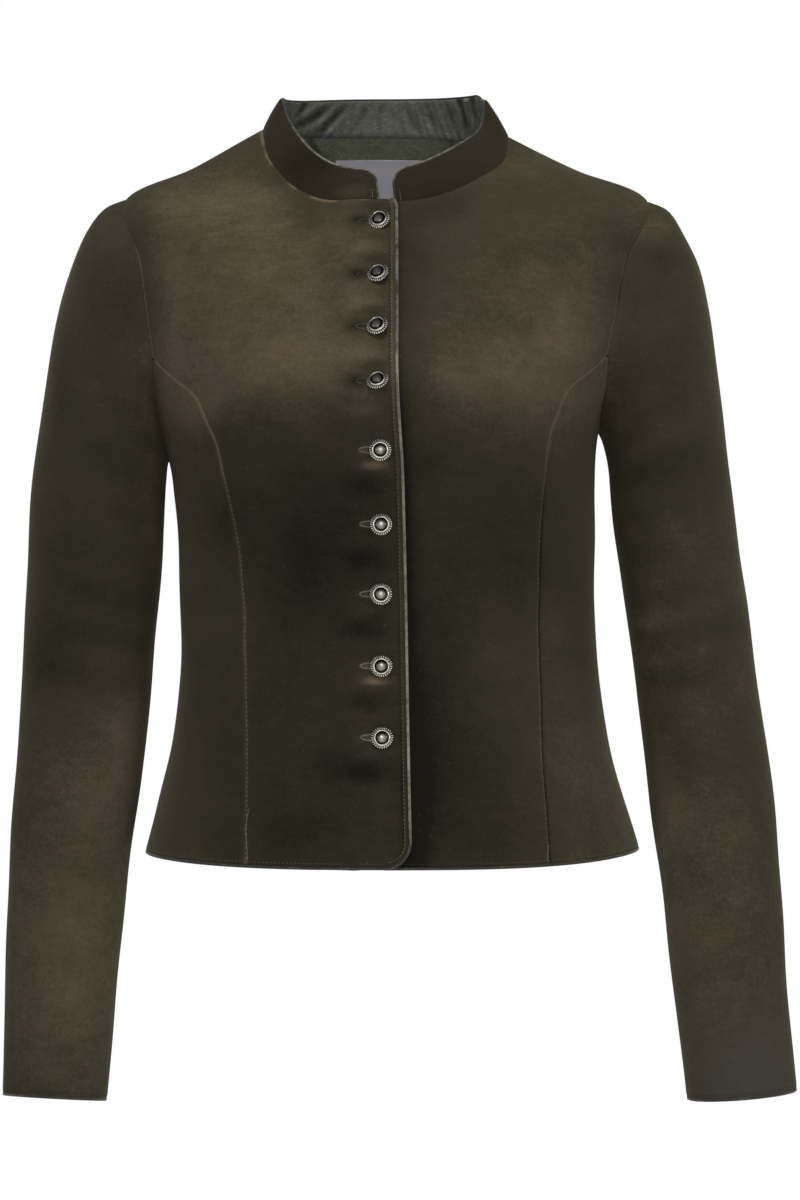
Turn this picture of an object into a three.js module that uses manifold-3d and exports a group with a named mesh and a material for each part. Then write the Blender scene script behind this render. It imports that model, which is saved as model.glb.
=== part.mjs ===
// A women's short folk-dress blazer in cotton velvet, hollow and open as it is when worn: a seven-panel
// bodice with princess seams, one-piece set-in sleeves, a stand collar with rounded ends, satin piping
// round the edges and nine domed metal buttons.
//
// Millimetres, +Z up, -Y the front and +X the wearer's left. The origin is the middle of the neck opening,
// at the height where the shoulder seams meet the collar. "Right" and "left" are the wearer's.

import * as THREE from "three";
import { mergeVertices } from "three/addons/utils/BufferGeometryUtils.js";
import Module from "manifold-3d";

const wasm = await Module();
wasm.setup();

// ---------------------------------------------------------------- driving dimensions

const CLOTH = 1.6; // velvet with its interlining
const LINING = 1.0; // satin lining
const SEAM = 0.3; // clearance between pieces at every seam
const PIPING_RADIUS = 1.2;
const PIPING_SIDES = 6;
const OVERLAP_LIFT = 3.0; // how far the right front stands out over the left one
const LIFT_FROM = -48; // x where the right front starts to lift
const LIFT_TO = -22; // x where it is fully lifted
const UNDERLAP = -21; // x of the left front's hidden edge
const CORNER_RADIUS = 18; // rounded lower corner of each front
const COLLAR_CORNER = 13; // rounded upper corner of each collar end
const COLLAR_RIGHT_END = -9.2; // x of the collar's ends at the neck seam
const COLLAR_LEFT_END = 5;
const STEEPNESS = 40; // power of |across| with which the steep part of a ring's climb comes
const BUTTON_RADIUS = 7.8;
const BUTTON_CLEAR = 0.7; // from the cloth to the underside of a button
const SHANK_RADIUS = 1.3;
const HOLE_EYE_RADIUS = 2.0;
const HOLE_LENGTH = 16; // from the eye to the far end of a buttonhole
const HOLE_WIDTH = 1.2;
const LABEL_WIDTH = 76;
const LABEL_HEIGHT = 42;
const LABEL_TOP = -7; // z of the label's upper edge
const LABEL_THICKNESS = 0.8;
const LABEL_DEPTH = CLOTH + SEAM + LINING + SEAM; // from the velvet's outer face to the label

// A short table: column names, then one row for each section.
const table = (columns, rows) =>
  rows.map((row) => Object.fromEntries(columns.split(" ").map((name, i) => [name, row[i]])));

// Rings of the bodice from hem to neck. z at centre front, side and centre back, and how much higher than
// that the wearer's right side is and the left lower; half width; depth in front of and behind the sides;
// squareness of the plan; how late the front climbs to the side, on the right and on the left; how much of
// that climb comes steeply at the very side, right and left; sideways lean; then how far out from the
// middle the armhole and the princess seams cross the ring. From underarm to shoulder point the half width
// is that of the uncut ring, which the armhole trims.
const BODICE = table(
  "name zFront zSide zBack tilt half front back square climbR climbL steepR steepL lean armhole princessR " +
    "princessL princessBack",
  [
    ["hem", -532.2, -525.3, -529, -1.2, 182.5, 112, 110, 0.03, 3.5, 3.5, 0, 0, 1.3, 182.5, 104.6, 113.3, 82],
    ["flare", -490, -489, -490, -1.5, 172, 108, 101, 0.03, 2.5, 2.5, 0, 0, 0.8, 172, 103.7, 111.2, 75],
    ["hip", -445, -445, -445, -1, 161, 103, 90, 0.03, 2.5, 2.5, 0, 0, 0.4, 161, 103.6, 109, 70],
    ["waist", -395, -395, -395, -1, 154.8, 98, 79, 0.035, 2.5, 2.5, 0, 0, -0.4, 154.8, 103.8, 108.1, 66],
    ["midriff", -345, -345, -345, -1, 153.4, 98, 77, 0.035, 2.5, 2.5, 0, 0, -2, 153.4, 103.7, 109.3, 66],
    ["ribs", -300, -301, -300, -1.5, 153.9, 104, 84, 0.035, 2.5, 2.5, 0, 0, -2.6, 153.9, 106.8, 111.1, 73],
    ["underbust", -260, -264, -260, -4, 155.3, 115, 93, 0.035, 2.5, 2.5, 0, 0, -3.8, 155.3, 112.9, 115, 82],
    ["armpit", -225, -229, -226, -10, 158.5, 127, 100, 0.035, 2.5, 2.5, 0, 0, -4.6, 158.5, 119.7, 121.3, 94],
    ["bust", -194, -195, -194, -5, 170.5, 134, 104, 0.03, 2.5, 2.5, 0, 0, -6.3, 163.3, 134.2, 135.1, 112],
    ["princess top", -164, -164, -160, -1.5, 182, 129, 105, 0.025, 2.5, 2.5, 0, 0, -6.7, 165, 165, 165, 137],
    ["chest", -133, -126, -126, 0, 192, 117, 103, 0.02, 2.6, 2.6, 0, 0, -6.2, 171.5, 171.5, 171.5, 171.5],
    ["upper chest", -105, -87, -85, 0, 197, 102, 97, 0.015, 3, 3, 0, 0, -5.2, 178, 178, 178, 178],
    ["shoulder point", -84, -45.8, -44, 0.5, 192, 90, 88, 0.01, 3.8, 3.2, 0, 0, -3, 192, 192, 192, 192],
    ["mid shoulder", -70, -23.3, -16, 1, 142, 80, 76, 0.005, 4.8, 3.2, 0, 0, -3, 142, 142, 142, 142],
    ["neck", -54.5, 3.7, 10, 2.8, 91, 70, 62, 0, 4, 2.2, 15, 18, -3, 91, 91, 91, 91],
  ],
);
const UNDERARM = 7;
const PRINCESS_FRONT_TOP = 9;
const PRINCESS_BACK_TOP = 10;
const SHOULDER_POINT = 12;
const NECK = 14;

// Levels where the panels have a row of points. The front edges have some more near their rounded corners.
const LOWER_LEVELS = [0, 1, 2, 3, 4, 5, 6];
const ARMHOLE_LEVELS = [7, 7.14, 7.5, 8, 8.5, 8.92, 9, 9.5, 9.93, 10, 11, 11.6, 12];
const SHOULDER_LEVELS = [12.5, 13, 13.5, 14];
const CORNER_LEVELS = [0.04, 0.15, 0.45];
const LEVELS = [...LOWER_LEVELS, ...ARMHOLE_LEVELS, ...SHOULDER_LEVELS];

// Right front edge at the piping, from hem to neck, and the centre of each button, which lies left of it.
const FRONT_EDGE = table("z x buttonX", [
  [-532.2, 14.2, -5.4],
  [-440, 12.2, -5.4],
  [-345, 10.6, -6.1],
  [-250, 8.3, -6.1],
  [-188, 4.7, -8.1],
  [-131, 4.4, -8.3],
  [-55.5, 4, -7],
]);
const BUTTONS = table("z", [[-69.5], [-110], [-148.5], [-187.7], [-235.7], [-288], [-337.7], [-389], [-440]]);

// Fullness that the princess seams and darts give the front at the bust.
const FULLNESS = { out: 76, z: -196, width: 46, height: 46, depth: 6 };

// Rings of each sleeve from armhole to cuff, seen from the front: the outer and inner edge points, half the
// depth front to back, how far the middle of the ring lies behind the sides of the bodice, and how much
// higher than the middle its front is.
const SLEEVE_COLUMNS = "name outerX outerZ innerX innerZ depth behind frontUp";
const SLEEVE_LEFT = table(SLEEVE_COLUMNS, [
  ["armhole", 189, -46, 154.2, -219, 46, -1, 0],
  ["crown", 204.5, -53.8, 155.2, -221, 50, -2, 0],
  ["cap", 215.8, -70.5, 156.8, -225, 52, -3, 0],
  ["head", 228, -95, 158.4, -231, 53, -3, 0],
  ["deltoid", 234.8, -126, 160, -239, 53, -2, 0],
  ["upper arm", 240.7, -163, 161.6, -250, 52, -1, 0],
  ["biceps", 246.3, -205, 163.1, -265, 51, 0, 0],
  ["biceps low", 251.4, -248, 165.8, -287, 50, 1, 0],
  ["above elbow", 257.8, -296, 170.3, -318, 49, 3, 0],
  ["elbow", 265.3, -350, 176.8, -364, 47, 4, 0],
  ["below elbow", 273.2, -410, 183.9, -421, 44, 1, 0],
  ["forearm", 281.2, -473, 190.4, -484, 40.5, -5, 0],
  ["lower forearm", 287.3, -541, 199.8, -552, 37, -12, 0],
  ["wrist", 291.2, -616, 208.3, -625, 33.5, -20, 0],
  ["cuff", 298.5, -699.2, 217.2, -706, 30, -28, 0],
]);
const SLEEVE_RIGHT = table(SLEEVE_COLUMNS, [
  ["armhole", 195, -44.5, 163.1, -239, 46, -1, 0],
  ["crown", 210.8, -52.7, 163.6, -241, 50, -6, 0],
  ["cap", 222.8, -69.2, 163.9, -243.5, 52, -10, 0],
  ["head", 232.3, -91, 164.3, -247, 53, -12, 0],
  ["deltoid", 242, -121, 164.9, -252, 53, -10, 0],
  ["upper arm", 250.5, -157, 165.6, -259, 52, -7, 0],
  ["biceps", 257.1, -202, 166.2, -270, 51, -3, 0],
  ["biceps low", 263.4, -247, 166.9, -289, 50, 0, 0],
  ["above elbow", 267.6, -298, 168.5, -315, 49, 3, 0],
  ["elbow", 270.5, -352, 172.7, -361, 47, 4, 0],
  ["below elbow", 273.2, -412, 177.7, -418, 44, 1, 1],
  ["forearm", 276.7, -474, 185, -480, 40, -5, 2],
  ["lower forearm", 280.5, -542, 192.7, -547, 36, -12, 3],
  ["wrist", 282.3, -618, 200, -622, 32, -20, 3],
  ["cuff", 284.5, -702.8, 207.5, -707, 28, -28, 3],
]);
const CUFF_JOIN = 1; // gap between the ends of a cuff's piping, at the underarm seam
const CAP_BLEND = [1, 0.62, 0.34, 0.15, 0.04]; // how much of the armhole's own shape each first ring keeps

// Upper edge of the stand collar: its plan, its heights and its sideways lean.
const COLLAR_TOP = {
  half: 75.9,
  front: 61,
  back: 57,
  zFront: -30.6,
  zSide: 31.7,
  zBack: 35,
  tilt: -2.3,
  climbR: 3.2,
  climbL: 1.85,
  steepR: 10,
  steepL: 28,
  lean: -4.6,
};
const COLLAR_ROWS = [0, 0.5, 1];
const COLLAR_STEPS = 22;

// The part of the back's lining that shows through the neck: rows and columns of the back panel.
const LINING_ROWS = { from: 17, to: 23 };
const LINING_COLUMNS = { from: 3, to: 13 };

// ---------------------------------------------------------------- reading the tables

const radians = THREE.MathUtils.degToRad;
const vec = (x, y, z) => new THREE.Vector3(x, y, z);

// A column as a smooth curve through its rows (Catmull-Rom), at a fractional row number.
function read(rows, column, at) {
  const last = rows.length - 1;
  const i = THREE.MathUtils.clamp(Math.floor(at), 0, last - 1);
  const f = at - i;
  const b = rows[i][column];
  const c = rows[i + 1][column];
  const a = i > 0 ? rows[i - 1][column] : 2 * b - c;
  const d = i + 1 < last ? rows[i + 2][column] : 2 * c - b;
  return b + 0.5 * f * (c - a + f * (2 * a - 5 * b + 4 * c - d + f * (3 * (b - c) + d - a)));
}

// A column read at a height, from a table whose z column climbs.
function readAtHeight(rows, column, z) {
  let i = 0;
  while (i < rows.length - 2 && z > rows[i + 1].z) i += 1;
  const share = (z - rows[i].z) / (rows[i + 1].z - rows[i].z);
  return read(rows, column, i + THREE.MathUtils.clamp(share, 0, 1));
}

// The x where a rising function of x reaches zero.
function rootBetween(low, high, rising) {
  for (let n = 0; n < 40; n += 1) {
    const middle = (low + high) / 2;
    if (rising(middle) > 0) high = middle;
    else low = middle;
  }
  return (low + high) / 2;
}

// ---------------------------------------------------------------- the bodice's surface

// z of a ring at a turn: flat in front, climbing late to the side and steeply at the very side, or falling
// evenly from the back.
function ringHeight(value, across, along) {
  const side = value("zSide") - value("tilt") * Math.sign(across);
  if (along < 0) return THREE.MathUtils.lerp(value("zBack"), side, across ** 2);
  const [climb, steep] = across < 0 ? ["climbR", "steepR"] : ["climbL", "steepL"];
  const late = value(steep) * Math.abs(across) ** STEEPNESS;
  return late + THREE.MathUtils.lerp(value("zFront"), side - value(steep), Math.abs(across) ** value(climb));
}

// A point of the velvet's outer face. Turn is in degrees from centre front towards the wearer's left, level
// is a row of BODICE. The plan is an ellipse, front and back halves of their own depth, pushed out at its
// corners.
function bodicePoint(turn, level) {
  const value = (column) => read(BODICE, column, level);
  const across = Math.sin(radians(turn));
  const along = Math.cos(radians(turn));
  const corner = 1 + value("square") * (2 * across * along) ** 2;
  const z = ringHeight(value, across, along);
  const out = value("half") * across * corner;
  const depth = along >= 0 ? -value("front") : value("back");
  const sideways = (Math.abs(out) - FULLNESS.out) / FULLNESS.width;
  const upwards = (z - FULLNESS.z) / FULLNESS.height;
  const fullness = along >= 0 ? FULLNESS.depth * Math.exp(-(sideways ** 2) - upwards ** 2) : 0;
  return vec(value("lean") + out, depth * Math.abs(along) * corner - fullness * Math.abs(along), z);
}

const TURN_STEP = 0.2;
const LEVEL_STEP = 0.02;

function bodiceSlope(turn, level) {
  const sideways = bodicePoint(turn + TURN_STEP, level).sub(bodicePoint(turn - TURN_STEP, level));
  const up = bodicePoint(turn, level + LEVEL_STEP).sub(bodicePoint(turn, level - LEVEL_STEP));
  return { sideways, up, normal: sideways.clone().cross(up).normalize() };
}

// The turn that lies a number of millimetres further round than another.
function turnPlus(turn, level, millimetres) {
  return turn + (millimetres * 2 * TURN_STEP) / bodiceSlope(turn, level).sideways.length();
}

const SIDE = 90;
const LEFT = 1;
const RIGHT = -1;

// The turn where a ring is a column's distance out from the middle, between two turns. Left is the wearer's
// left, with turns from 0 to 180; the right side's turns are the same with a minus sign.
function seamTurn(column, level, side, low, high) {
  const lean = read(BODICE, "lean", level);
  const past = (turn) => side * (bodicePoint(side * turn, level).x - lean) - read(BODICE, column, level);
  return side * (low < SIDE ? rootBetween(low, high, past) : rootBetween(low, high, (turn) => -past(turn)));
}

const hasArmhole = (level) => level > UNDERARM && level < SHOULDER_POINT;

function armholeFront(level, side) {
  return hasArmhole(level) ? seamTurn("armhole", level, side, 20, SIDE) : side * SIDE;
}

function armholeBack(level, side) {
  return hasArmhole(level) ? seamTurn("armhole", level, side, SIDE, 160) : side * SIDE;
}

function princessFront(level, side) {
  if (level >= PRINCESS_FRONT_TOP) return armholeFront(level, side);
  return seamTurn(side > 0 ? "princessL" : "princessR", level, side, 10, SIDE);
}

function princessBack(level, side) {
  if (level >= PRINCESS_BACK_TOP) return armholeBack(level, side);
  return seamTurn("princessBack", level, side, SIDE, 175);
}

// How far a point of the right front stands out to lie over the left one.
function overlapLift(x) {
  return OVERLAP_LIFT * THREE.MathUtils.smoothstep(x, LIFT_FROM, LIFT_TO);
}

// A front edge at x in the tables, drawn in along a quarter circle at its lower corner.
function roundedEdge(x, inwards, level) {
  const above = read(BODICE, "zFront", level) - BODICE[0].zFront;
  const left = Math.max(0, CORNER_RADIUS - above);
  const drawnIn = CORNER_RADIUS - Math.sqrt(CORNER_RADIUS ** 2 - left ** 2);
  return x + inwards * Math.min(drawnIn, CORNER_RADIUS * 0.97);
}

function turnAtX(x, level) {
  return rootBetween(-60, 60, (turn) => bodicePoint(turn, level).x - x);
}

function rightEdgeTurn(level) {
  const z = read(BODICE, "zFront", level);
  return turnAtX(roundedEdge(readAtHeight(FRONT_EDGE, "x", z), -1, level), level);
}

function leftEdgeTurn(level) {
  return turnAtX(roundedEdge(UNDERLAP, 1, level), level);
}

// ---------------------------------------------------------------- the panels' seams

const FRONT_LEVELS = [LEVELS[0], ...CORNER_LEVELS, ...LEVELS.slice(1)];
const SIDE_FRONT_LEVELS = LEVELS.filter((level) => level < PRINCESS_FRONT_TOP);
const SIDE_BACK_LEVELS = LEVELS.filter((level) => level < PRINCESS_BACK_TOP);
const on = (side, seam) => (level) => seam(level, side);
const roundTheBack = (seam) => (level) => 360 + seam(level, RIGHT);

// Each panel runs from one seam to the next, going round from the front towards the wearer's left.
const PANELS = {
  front_right: {
    levels: FRONT_LEVELS,
    from: on(RIGHT, princessFront),
    to: rightEdgeTurn,
    steps: 9,
    lift: overlapLift,
  },
  front_left: { levels: FRONT_LEVELS, from: leftEdgeTurn, to: on(LEFT, princessFront), steps: 9 },
  side_front_right: {
    levels: SIDE_FRONT_LEVELS,
    from: on(RIGHT, armholeFront),
    to: on(RIGHT, princessFront),
    steps: 4,
  },
  side_front_left: {
    levels: SIDE_FRONT_LEVELS,
    from: on(LEFT, princessFront),
    to: on(LEFT, armholeFront),
    steps: 4,
  },
  side_back_right: {
    levels: SIDE_BACK_LEVELS,
    from: roundTheBack(princessBack),
    to: roundTheBack(armholeBack),
    steps: 5,
  },
  side_back_left: {
    levels: SIDE_BACK_LEVELS,
    from: on(LEFT, armholeBack),
    to: on(LEFT, princessBack),
    steps: 5,
  },
  back_centre: {
    levels: LEVELS,
    from: on(LEFT, princessBack),
    to: roundTheBack(princessBack),
    steps: 16,
  },
};
const HEM_ORDER = [
  "front_right",
  "side_front_right",
  "side_back_right",
  "back_centre",
  "side_back_left",
  "side_front_left",
  "front_left",
];

// ---------------------------------------------------------------- solids from grids of points

function geometryOf(points, faces) {
  const geometry = new THREE.BufferGeometry().setFromPoints(points);
  geometry.setIndex(faces);
  return geometry;
}

// A closed wall between two grids of points with rows going up and columns going round, outer face first. A
// wall that goes all the way round has no side edges. Each face is split along its shorter diagonal.
function wallBetween(outer, inner, goesRound = false) {
  const rows = outer.length;
  const columns = outer[0].length;
  const points = [...outer.flat(), ...inner.flat()];
  const faces = [];
  const split = (a, b, c, d, alongAC) => faces.push(...(alongAC ? [a, b, c, a, c, d] : [a, b, d, b, c, d]));
  const out = (r, c) => r * columns + (c % columns);
  const into = (r, c) => rows * columns + out(r, c);
  const apart = (a, b) => points[a].distanceTo(points[b]);
  const spans = goesRound ? columns : columns - 1;
  const top = rows - 1;
  for (let c = 0; c < spans; c += 1) {
    for (let r = 0; r < top; r += 1) {
      const rises = apart(out(r, c), out(r + 1, c + 1)) < apart(out(r, c + 1), out(r + 1, c));
      split(out(r, c), out(r, c + 1), out(r + 1, c + 1), out(r + 1, c), rises);
      split(into(r, c), into(r + 1, c), into(r + 1, c + 1), into(r, c + 1), rises);
    }
    split(out(0, c), into(0, c), into(0, c + 1), out(0, c + 1), true);
    split(out(top, c), out(top, c + 1), into(top, c + 1), into(top, c), true);
  }
  for (let r = 0; r < top && !goesRound; r += 1) {
    split(out(r, 0), out(r + 1, 0), into(r + 1, 0), into(r, 0), true);
    split(out(r + 1, spans), out(r, spans), into(r, spans), into(r + 1, spans), true);
  }
  return geometryOf(points, faces);
}

const moved = (point, normal, distance) => point.clone().addScaledVector(normal, distance);
const belowSurface = ({ point, normal }, depth) => ({ point: moved(point, normal, -depth), normal });
const midWall = (place) => belowSurface(place, CLOTH / 2);

// One level of a panel: its columns run from one seam to the next, and the seam clearance is taken off both
// ends.
function panelRow({ from, to, steps, lift = () => 0 }, level) {
  const first = turnPlus(from(level), level, SEAM / 2);
  const last = turnPlus(to(level), level, -SEAM / 2);
  return Array.from({ length: steps + 1 }, (_, i) => {
    const turn = first + ((last - first) * i) / steps;
    const { normal } = bodiceSlope(turn, level);
    const point = bodicePoint(turn, level);
    return { turn, normal, point: moved(point, normal, lift(point.x)) };
  });
}

const panelGrid = (panel) => panel.levels.map((level) => panelRow(panel, level));

// A row of places between two rows of a grid, at a fractional row number.
function rowBetween(grid, at) {
  const below = Math.floor(at);
  const above = grid[Math.min(below + 1, grid.length - 1)];
  return grid[below].map((place, i) => placeBetween(place, above[i], at - below));
}

function placeBetween(a, b, share) {
  const blend = (key) => a[key].clone().lerp(b[key], share);
  return { point: blend("point"), normal: blend("normal").normalize() };
}

// The fractional place in a list where its falling values meet one.
function indexAt(values, wanted) {
  const next = values.findIndex((value) => value < wanted);
  return next - (wanted - values[next]) / (values[next - 1] - values[next]);
}

// A wall between two depths below a grid of surface places.
function layerOf(grid, from, to, goesRound = false) {
  const atDepth = (depth) => grid.map((row) => row.map(({ point, normal }) => moved(point, normal, -depth)));
  return wallBetween(atDepth(from), atDepth(to), goesRound);
}

// A smooth curve that an extrusion follows from point to point, with a section at each.
class Route extends THREE.CatmullRomCurve3 {
  getPointAt(share, target) {
    return this.getPoint(share, target);
  }

  getTangentAt(share, target) {
    return this.getTangent(share, target);
  }
}

// Piping: a round cord beside an edge, given as places in the middle of the wall that run with the piece on
// their left as seen from outside.
function pipingBeside(edge) {
  const path = edge.map(({ point, normal }, i) => {
    const before = edge[Math.max(i - 1, 0)].point;
    const after = edge[Math.min(i + 1, edge.length - 1)].point;
    const off = normal.clone().cross(after.clone().sub(before)).normalize();
    return moved(point, off, PIPING_RADIUS + SEAM);
  });
  const section = new THREE.Shape();
  section.absarc(0, 0, PIPING_RADIUS, 0, 2 * Math.PI);
  return new THREE.ExtrudeGeometry(section, {
    steps: path.length - 1,
    curveSegments: PIPING_SIDES / 2,
    extrudePath: new Route(path),
    bevelEnabled: false,
  });
}

// ---------------------------------------------------------------- booleans, for the buttonholes

function solidOf(geometry) {
  const bare = geometry.clone();
  bare.deleteAttribute("normal");
  bare.deleteAttribute("uv");
  const merged = mergeVertices(bare, 1e-4);
  return new wasm.Manifold(
    new wasm.Mesh({
      numProp: 3,
      vertProperties: new Float32Array(merged.attributes.position.array),
      triVerts: new Uint32Array(merged.index.array),
    }),
  );
}

function geometryFrom(solid) {
  const { vertProperties, triVerts } = solid.getMesh();
  const geometry = new THREE.BufferGeometry();
  geometry.setAttribute("position", new THREE.BufferAttribute(vertProperties, 3));
  return geometry.setIndex(new THREE.BufferAttribute(triVerts, 1));
}

// ---------------------------------------------------------------- places of the buttons

// Each button stands square on a facet of the right front. Its frame has z out from the cloth and x to the
// left.
function buttonPlace(front, z) {
  const x = readAtHeight(FRONT_EDGE, "buttonX", z);
  const at = indexAt(front.map((row) => -row.at(-1).point.z), -z);
  const row = rowBetween(front, at);
  const column = indexAt(row.map(({ point }) => -point.x), -x);
  const left = Math.floor(column);
  const on = (line) => placeBetween(line[left], line[left + 1], column - left).point;
  const xAxis = row[left + 1].point.clone().sub(row[left].point).normalize();
  const up = on(front[Math.floor(at) + 1]).sub(on(front[Math.floor(at)]));
  const normal = xAxis.clone().cross(up).normalize();
  const yAxis = normal.clone().cross(xAxis).normalize();
  return new THREE.Matrix4().makeBasis(xAxis, yAxis, normal).setPosition(on(row));
}

// A buttonhole's cutter: a round eye where the shank sits and a slit from it towards the side.
function buttonholeCutter() {
  const outline = new THREE.Shape();
  const half = HOLE_WIDTH / 2;
  const meets = Math.asin(half / HOLE_EYE_RADIUS);
  outline.absarc(0, 0, HOLE_EYE_RADIUS, -Math.PI + meets, Math.PI - meets);
  outline.lineTo(-HOLE_LENGTH, half);
  outline.lineTo(-HOLE_LENGTH, -half);
  outline.closePath();
  const depth = 6;
  const geometry = new THREE.ExtrudeGeometry(outline, { depth, curveSegments: 3, bevelEnabled: false });
  return geometry.translate(0, 0, -depth / 2);
}

function withButtonholes(cloth, places) {
  const holes = places.map((place) => solidOf(buttonholeCutter().applyMatrix4(place)));
  return geometryFrom(holes.reduce((left, hole) => left.subtract(hole), solidOf(cloth)));
}

// A button turned from one profile: a toothed rim's plain disc, a groove and a dome, on the shank that goes
// through the buttonhole to the left front.
function buttonGeometry() {
  const clear = BUTTON_CLEAR;
  const shankFoot = SEAM - OVERLAP_LIFT;
  const profile = [
    [0, shankFoot],
    [SHANK_RADIUS, shankFoot],
    [SHANK_RADIUS, clear],
    [BUTTON_RADIUS * 0.86, clear],
    [BUTTON_RADIUS, clear + 0.6],
    [BUTTON_RADIUS * 0.96, clear + 1.5],
    [BUTTON_RADIUS * 0.72, clear + 1.9],
    [BUTTON_RADIUS * 0.6, clear + 1.4],
    [BUTTON_RADIUS * 0.52, clear + 2.5],
    [BUTTON_RADIUS * 0.3, clear + 3.5],
    [0, clear + 3.9],
  ];
  const lathe = new THREE.LatheGeometry(profile.map(([r, h]) => new THREE.Vector2(r, h)), 16);
  return lathe.rotateX(Math.PI / 2);
}

// ---------------------------------------------------------------- the sleeves

// One loop of an armhole in the order of the sleeve's columns: from the underarm up the front, over the
// shoulder point and down the back. Side is +1 for the wearer's left.
function armholeLoop(side) {
  const front = ARMHOLE_LEVELS.map((level) => ({ level, turn: armholeFront(level, side) }));
  const back = ARMHOLE_LEVELS.slice(1, -1)
    .reverse()
    .map((level) => ({ level, turn: armholeBack(level, side) }));
  const seam = [...front, ...back].map(({ level, turn }) => ({
    point: bodicePoint(turn, level),
    normal: bodiceSlope(turn, level).normal,
  }));
  const loop = seam.map(({ point, normal }, i) => {
    const along = seam[(i + 1) % seam.length].point.clone().sub(seam.at(i - 1).point);
    return { point: moved(point, along.cross(normal).normalize(), side * SEAM), normal };
  });
  return side > 0 ? loop : [loop[0], ...loop.slice(1).reverse()];
}

// The sleeve's outer face as a grid of places that goes round, with rows from cuff to armhole.
function sleeveGrid(rings, side) {
  const loop = armholeLoop(side);
  const heights = loop.map(({ point }) => point.z);
  const low = Math.min(...heights);
  const high = Math.max(...heights);
  const topColumn = heights.indexOf(high);
  // Angle of each column round the ring, so that its height in the armhole ring is that of the loop's
  // point.
  const angles = loop.map(({ point }, i) => {
    const angle = Math.asin(THREE.MathUtils.clamp((2 * (point.z - low)) / (high - low) - 1, -1, 1));
    const isFirstHalf = side > 0 ? i <= topColumn : i >= topColumn || i === 0;
    return isFirstHalf ? angle : Math.PI - angle;
  });
  const ringPoint = (row, angle) => {
    const outward = Math.sin(angle);
    const x = (row.outerX + row.innerX) / 2 + (outward * (row.outerX - row.innerX)) / 2;
    const z = (row.outerZ + row.innerZ) / 2 + (outward * (row.outerZ - row.innerZ)) / 2;
    const forward = Math.cos(angle);
    return vec(side * x, row.behind - row.depth * forward, z + row.frontUp * forward);
  };
  const own = loop.map(({ point }, i) => point.clone().sub(ringPoint(rings[0], angles[i])));
  const points = rings.map((row, r) =>
    angles.map((angle, i) => ringPoint(row, angle).addScaledVector(own[i], CAP_BLEND[r] ?? 0)),
  );
  const columns = angles.length;
  const last = points.length - 1;
  const grid = points.map((row, r) =>
    row.map((point, i) => {
      const round = row[(i + 1) % columns].clone().sub(row[(i + columns - 1) % columns]);
      const down = points[Math.min(r + 1, last)][i].clone().sub(points[Math.max(r - 1, 0)][i]);
      const normal = down.cross(round).normalize();
      return { point, normal: r ? normal : seamNormal(loop[i].normal, normal) };
    }),
  );
  return grid.reverse();
}

// The sleeve's first ring faces the way the bodice does there, but under the arm, where the sleeve folds
// back, it is square to its own wall.
function seamNormal(bodice, sleeve) {
  const foldsBack = THREE.MathUtils.smoothstep(-bodice.dot(sleeve), -0.6, 0.2);
  return bodice.clone().lerp(sleeve, foldsBack).normalize();
}

// The edge of a cuff, from the underarm seam all round and back to it.
function cuffEdge(grid) {
  const [cuff] = grid;
  const first = cuff[0];
  const towards = (other) => {
    const way = other.point.clone().sub(first.point).normalize();
    return { point: moved(first.point, way, CUFF_JOIN / 2), normal: first.normal };
  };
  return [towards(cuff[1]), ...cuff.slice(1), towards(cuff.at(-1))].map(midWall).reverse();
}

// ---------------------------------------------------------------- the collar

// The neck seam as the panels make it: the upper edge of the left front, the back and the right front, in
// turn.
const NECK_EDGE = ["front_left", "back_centre", "front_right"].flatMap((name) => {
  const fullTurn = name === "front_right" ? 360 : 0;
  return panelRow(PANELS[name], NECK).map(({ turn, point }) => ({ turn: turn + fullTurn, point }));
});

// The point of the neck seam at a turn that counts on from the left front round the back to 360 at centre
// front.
function neckPoint(turn) {
  const next = Math.max(1, NECK_EDGE.findIndex((place) => place.turn > turn));
  const [a, b] = [NECK_EDGE[next - 1], NECK_EDGE[next]];
  return a.point.clone().lerp(b.point, (turn - a.turn) / (b.turn - a.turn));
}

function collarTopPoint(turn) {
  const across = Math.sin(radians(turn));
  const along = Math.cos(radians(turn));
  const depth = along >= 0 ? -COLLAR_TOP.front : COLLAR_TOP.back;
  const z = ringHeight((name) => COLLAR_TOP[name], across, along);
  return vec(COLLAR_TOP.lean + COLLAR_TOP.half * across, depth * Math.abs(along), z);
}

// Turns of the collar's columns, from its right end round the back to its left end, close together at the
// ends.
function collarTurns() {
  const rightEnd = turnAtX(COLLAR_RIGHT_END, NECK);
  const leftEnd = turnAtX(COLLAR_LEFT_END, NECK);
  const turnAcross = (millimetres) => millimetres / bodicePoint(0, NECK).distanceTo(bodicePoint(1, NECK));
  const ends = [0, 0.12, 0.4, 0.75, 1.1].map((share) => turnAcross(share * COLLAR_CORNER));
  const from = leftEnd + ends.at(-1);
  const to = 360 + rightEnd - ends.at(-1);
  const step = (to - from) / COLLAR_STEPS;
  const body = Array.from({ length: COLLAR_STEPS - 1 }, (_, i) => from + step * (i + 1));
  return [...ends.map((e) => leftEnd + e), ...body, ...ends.toReversed().map((e) => 360 + rightEnd - e)];
}

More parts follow.
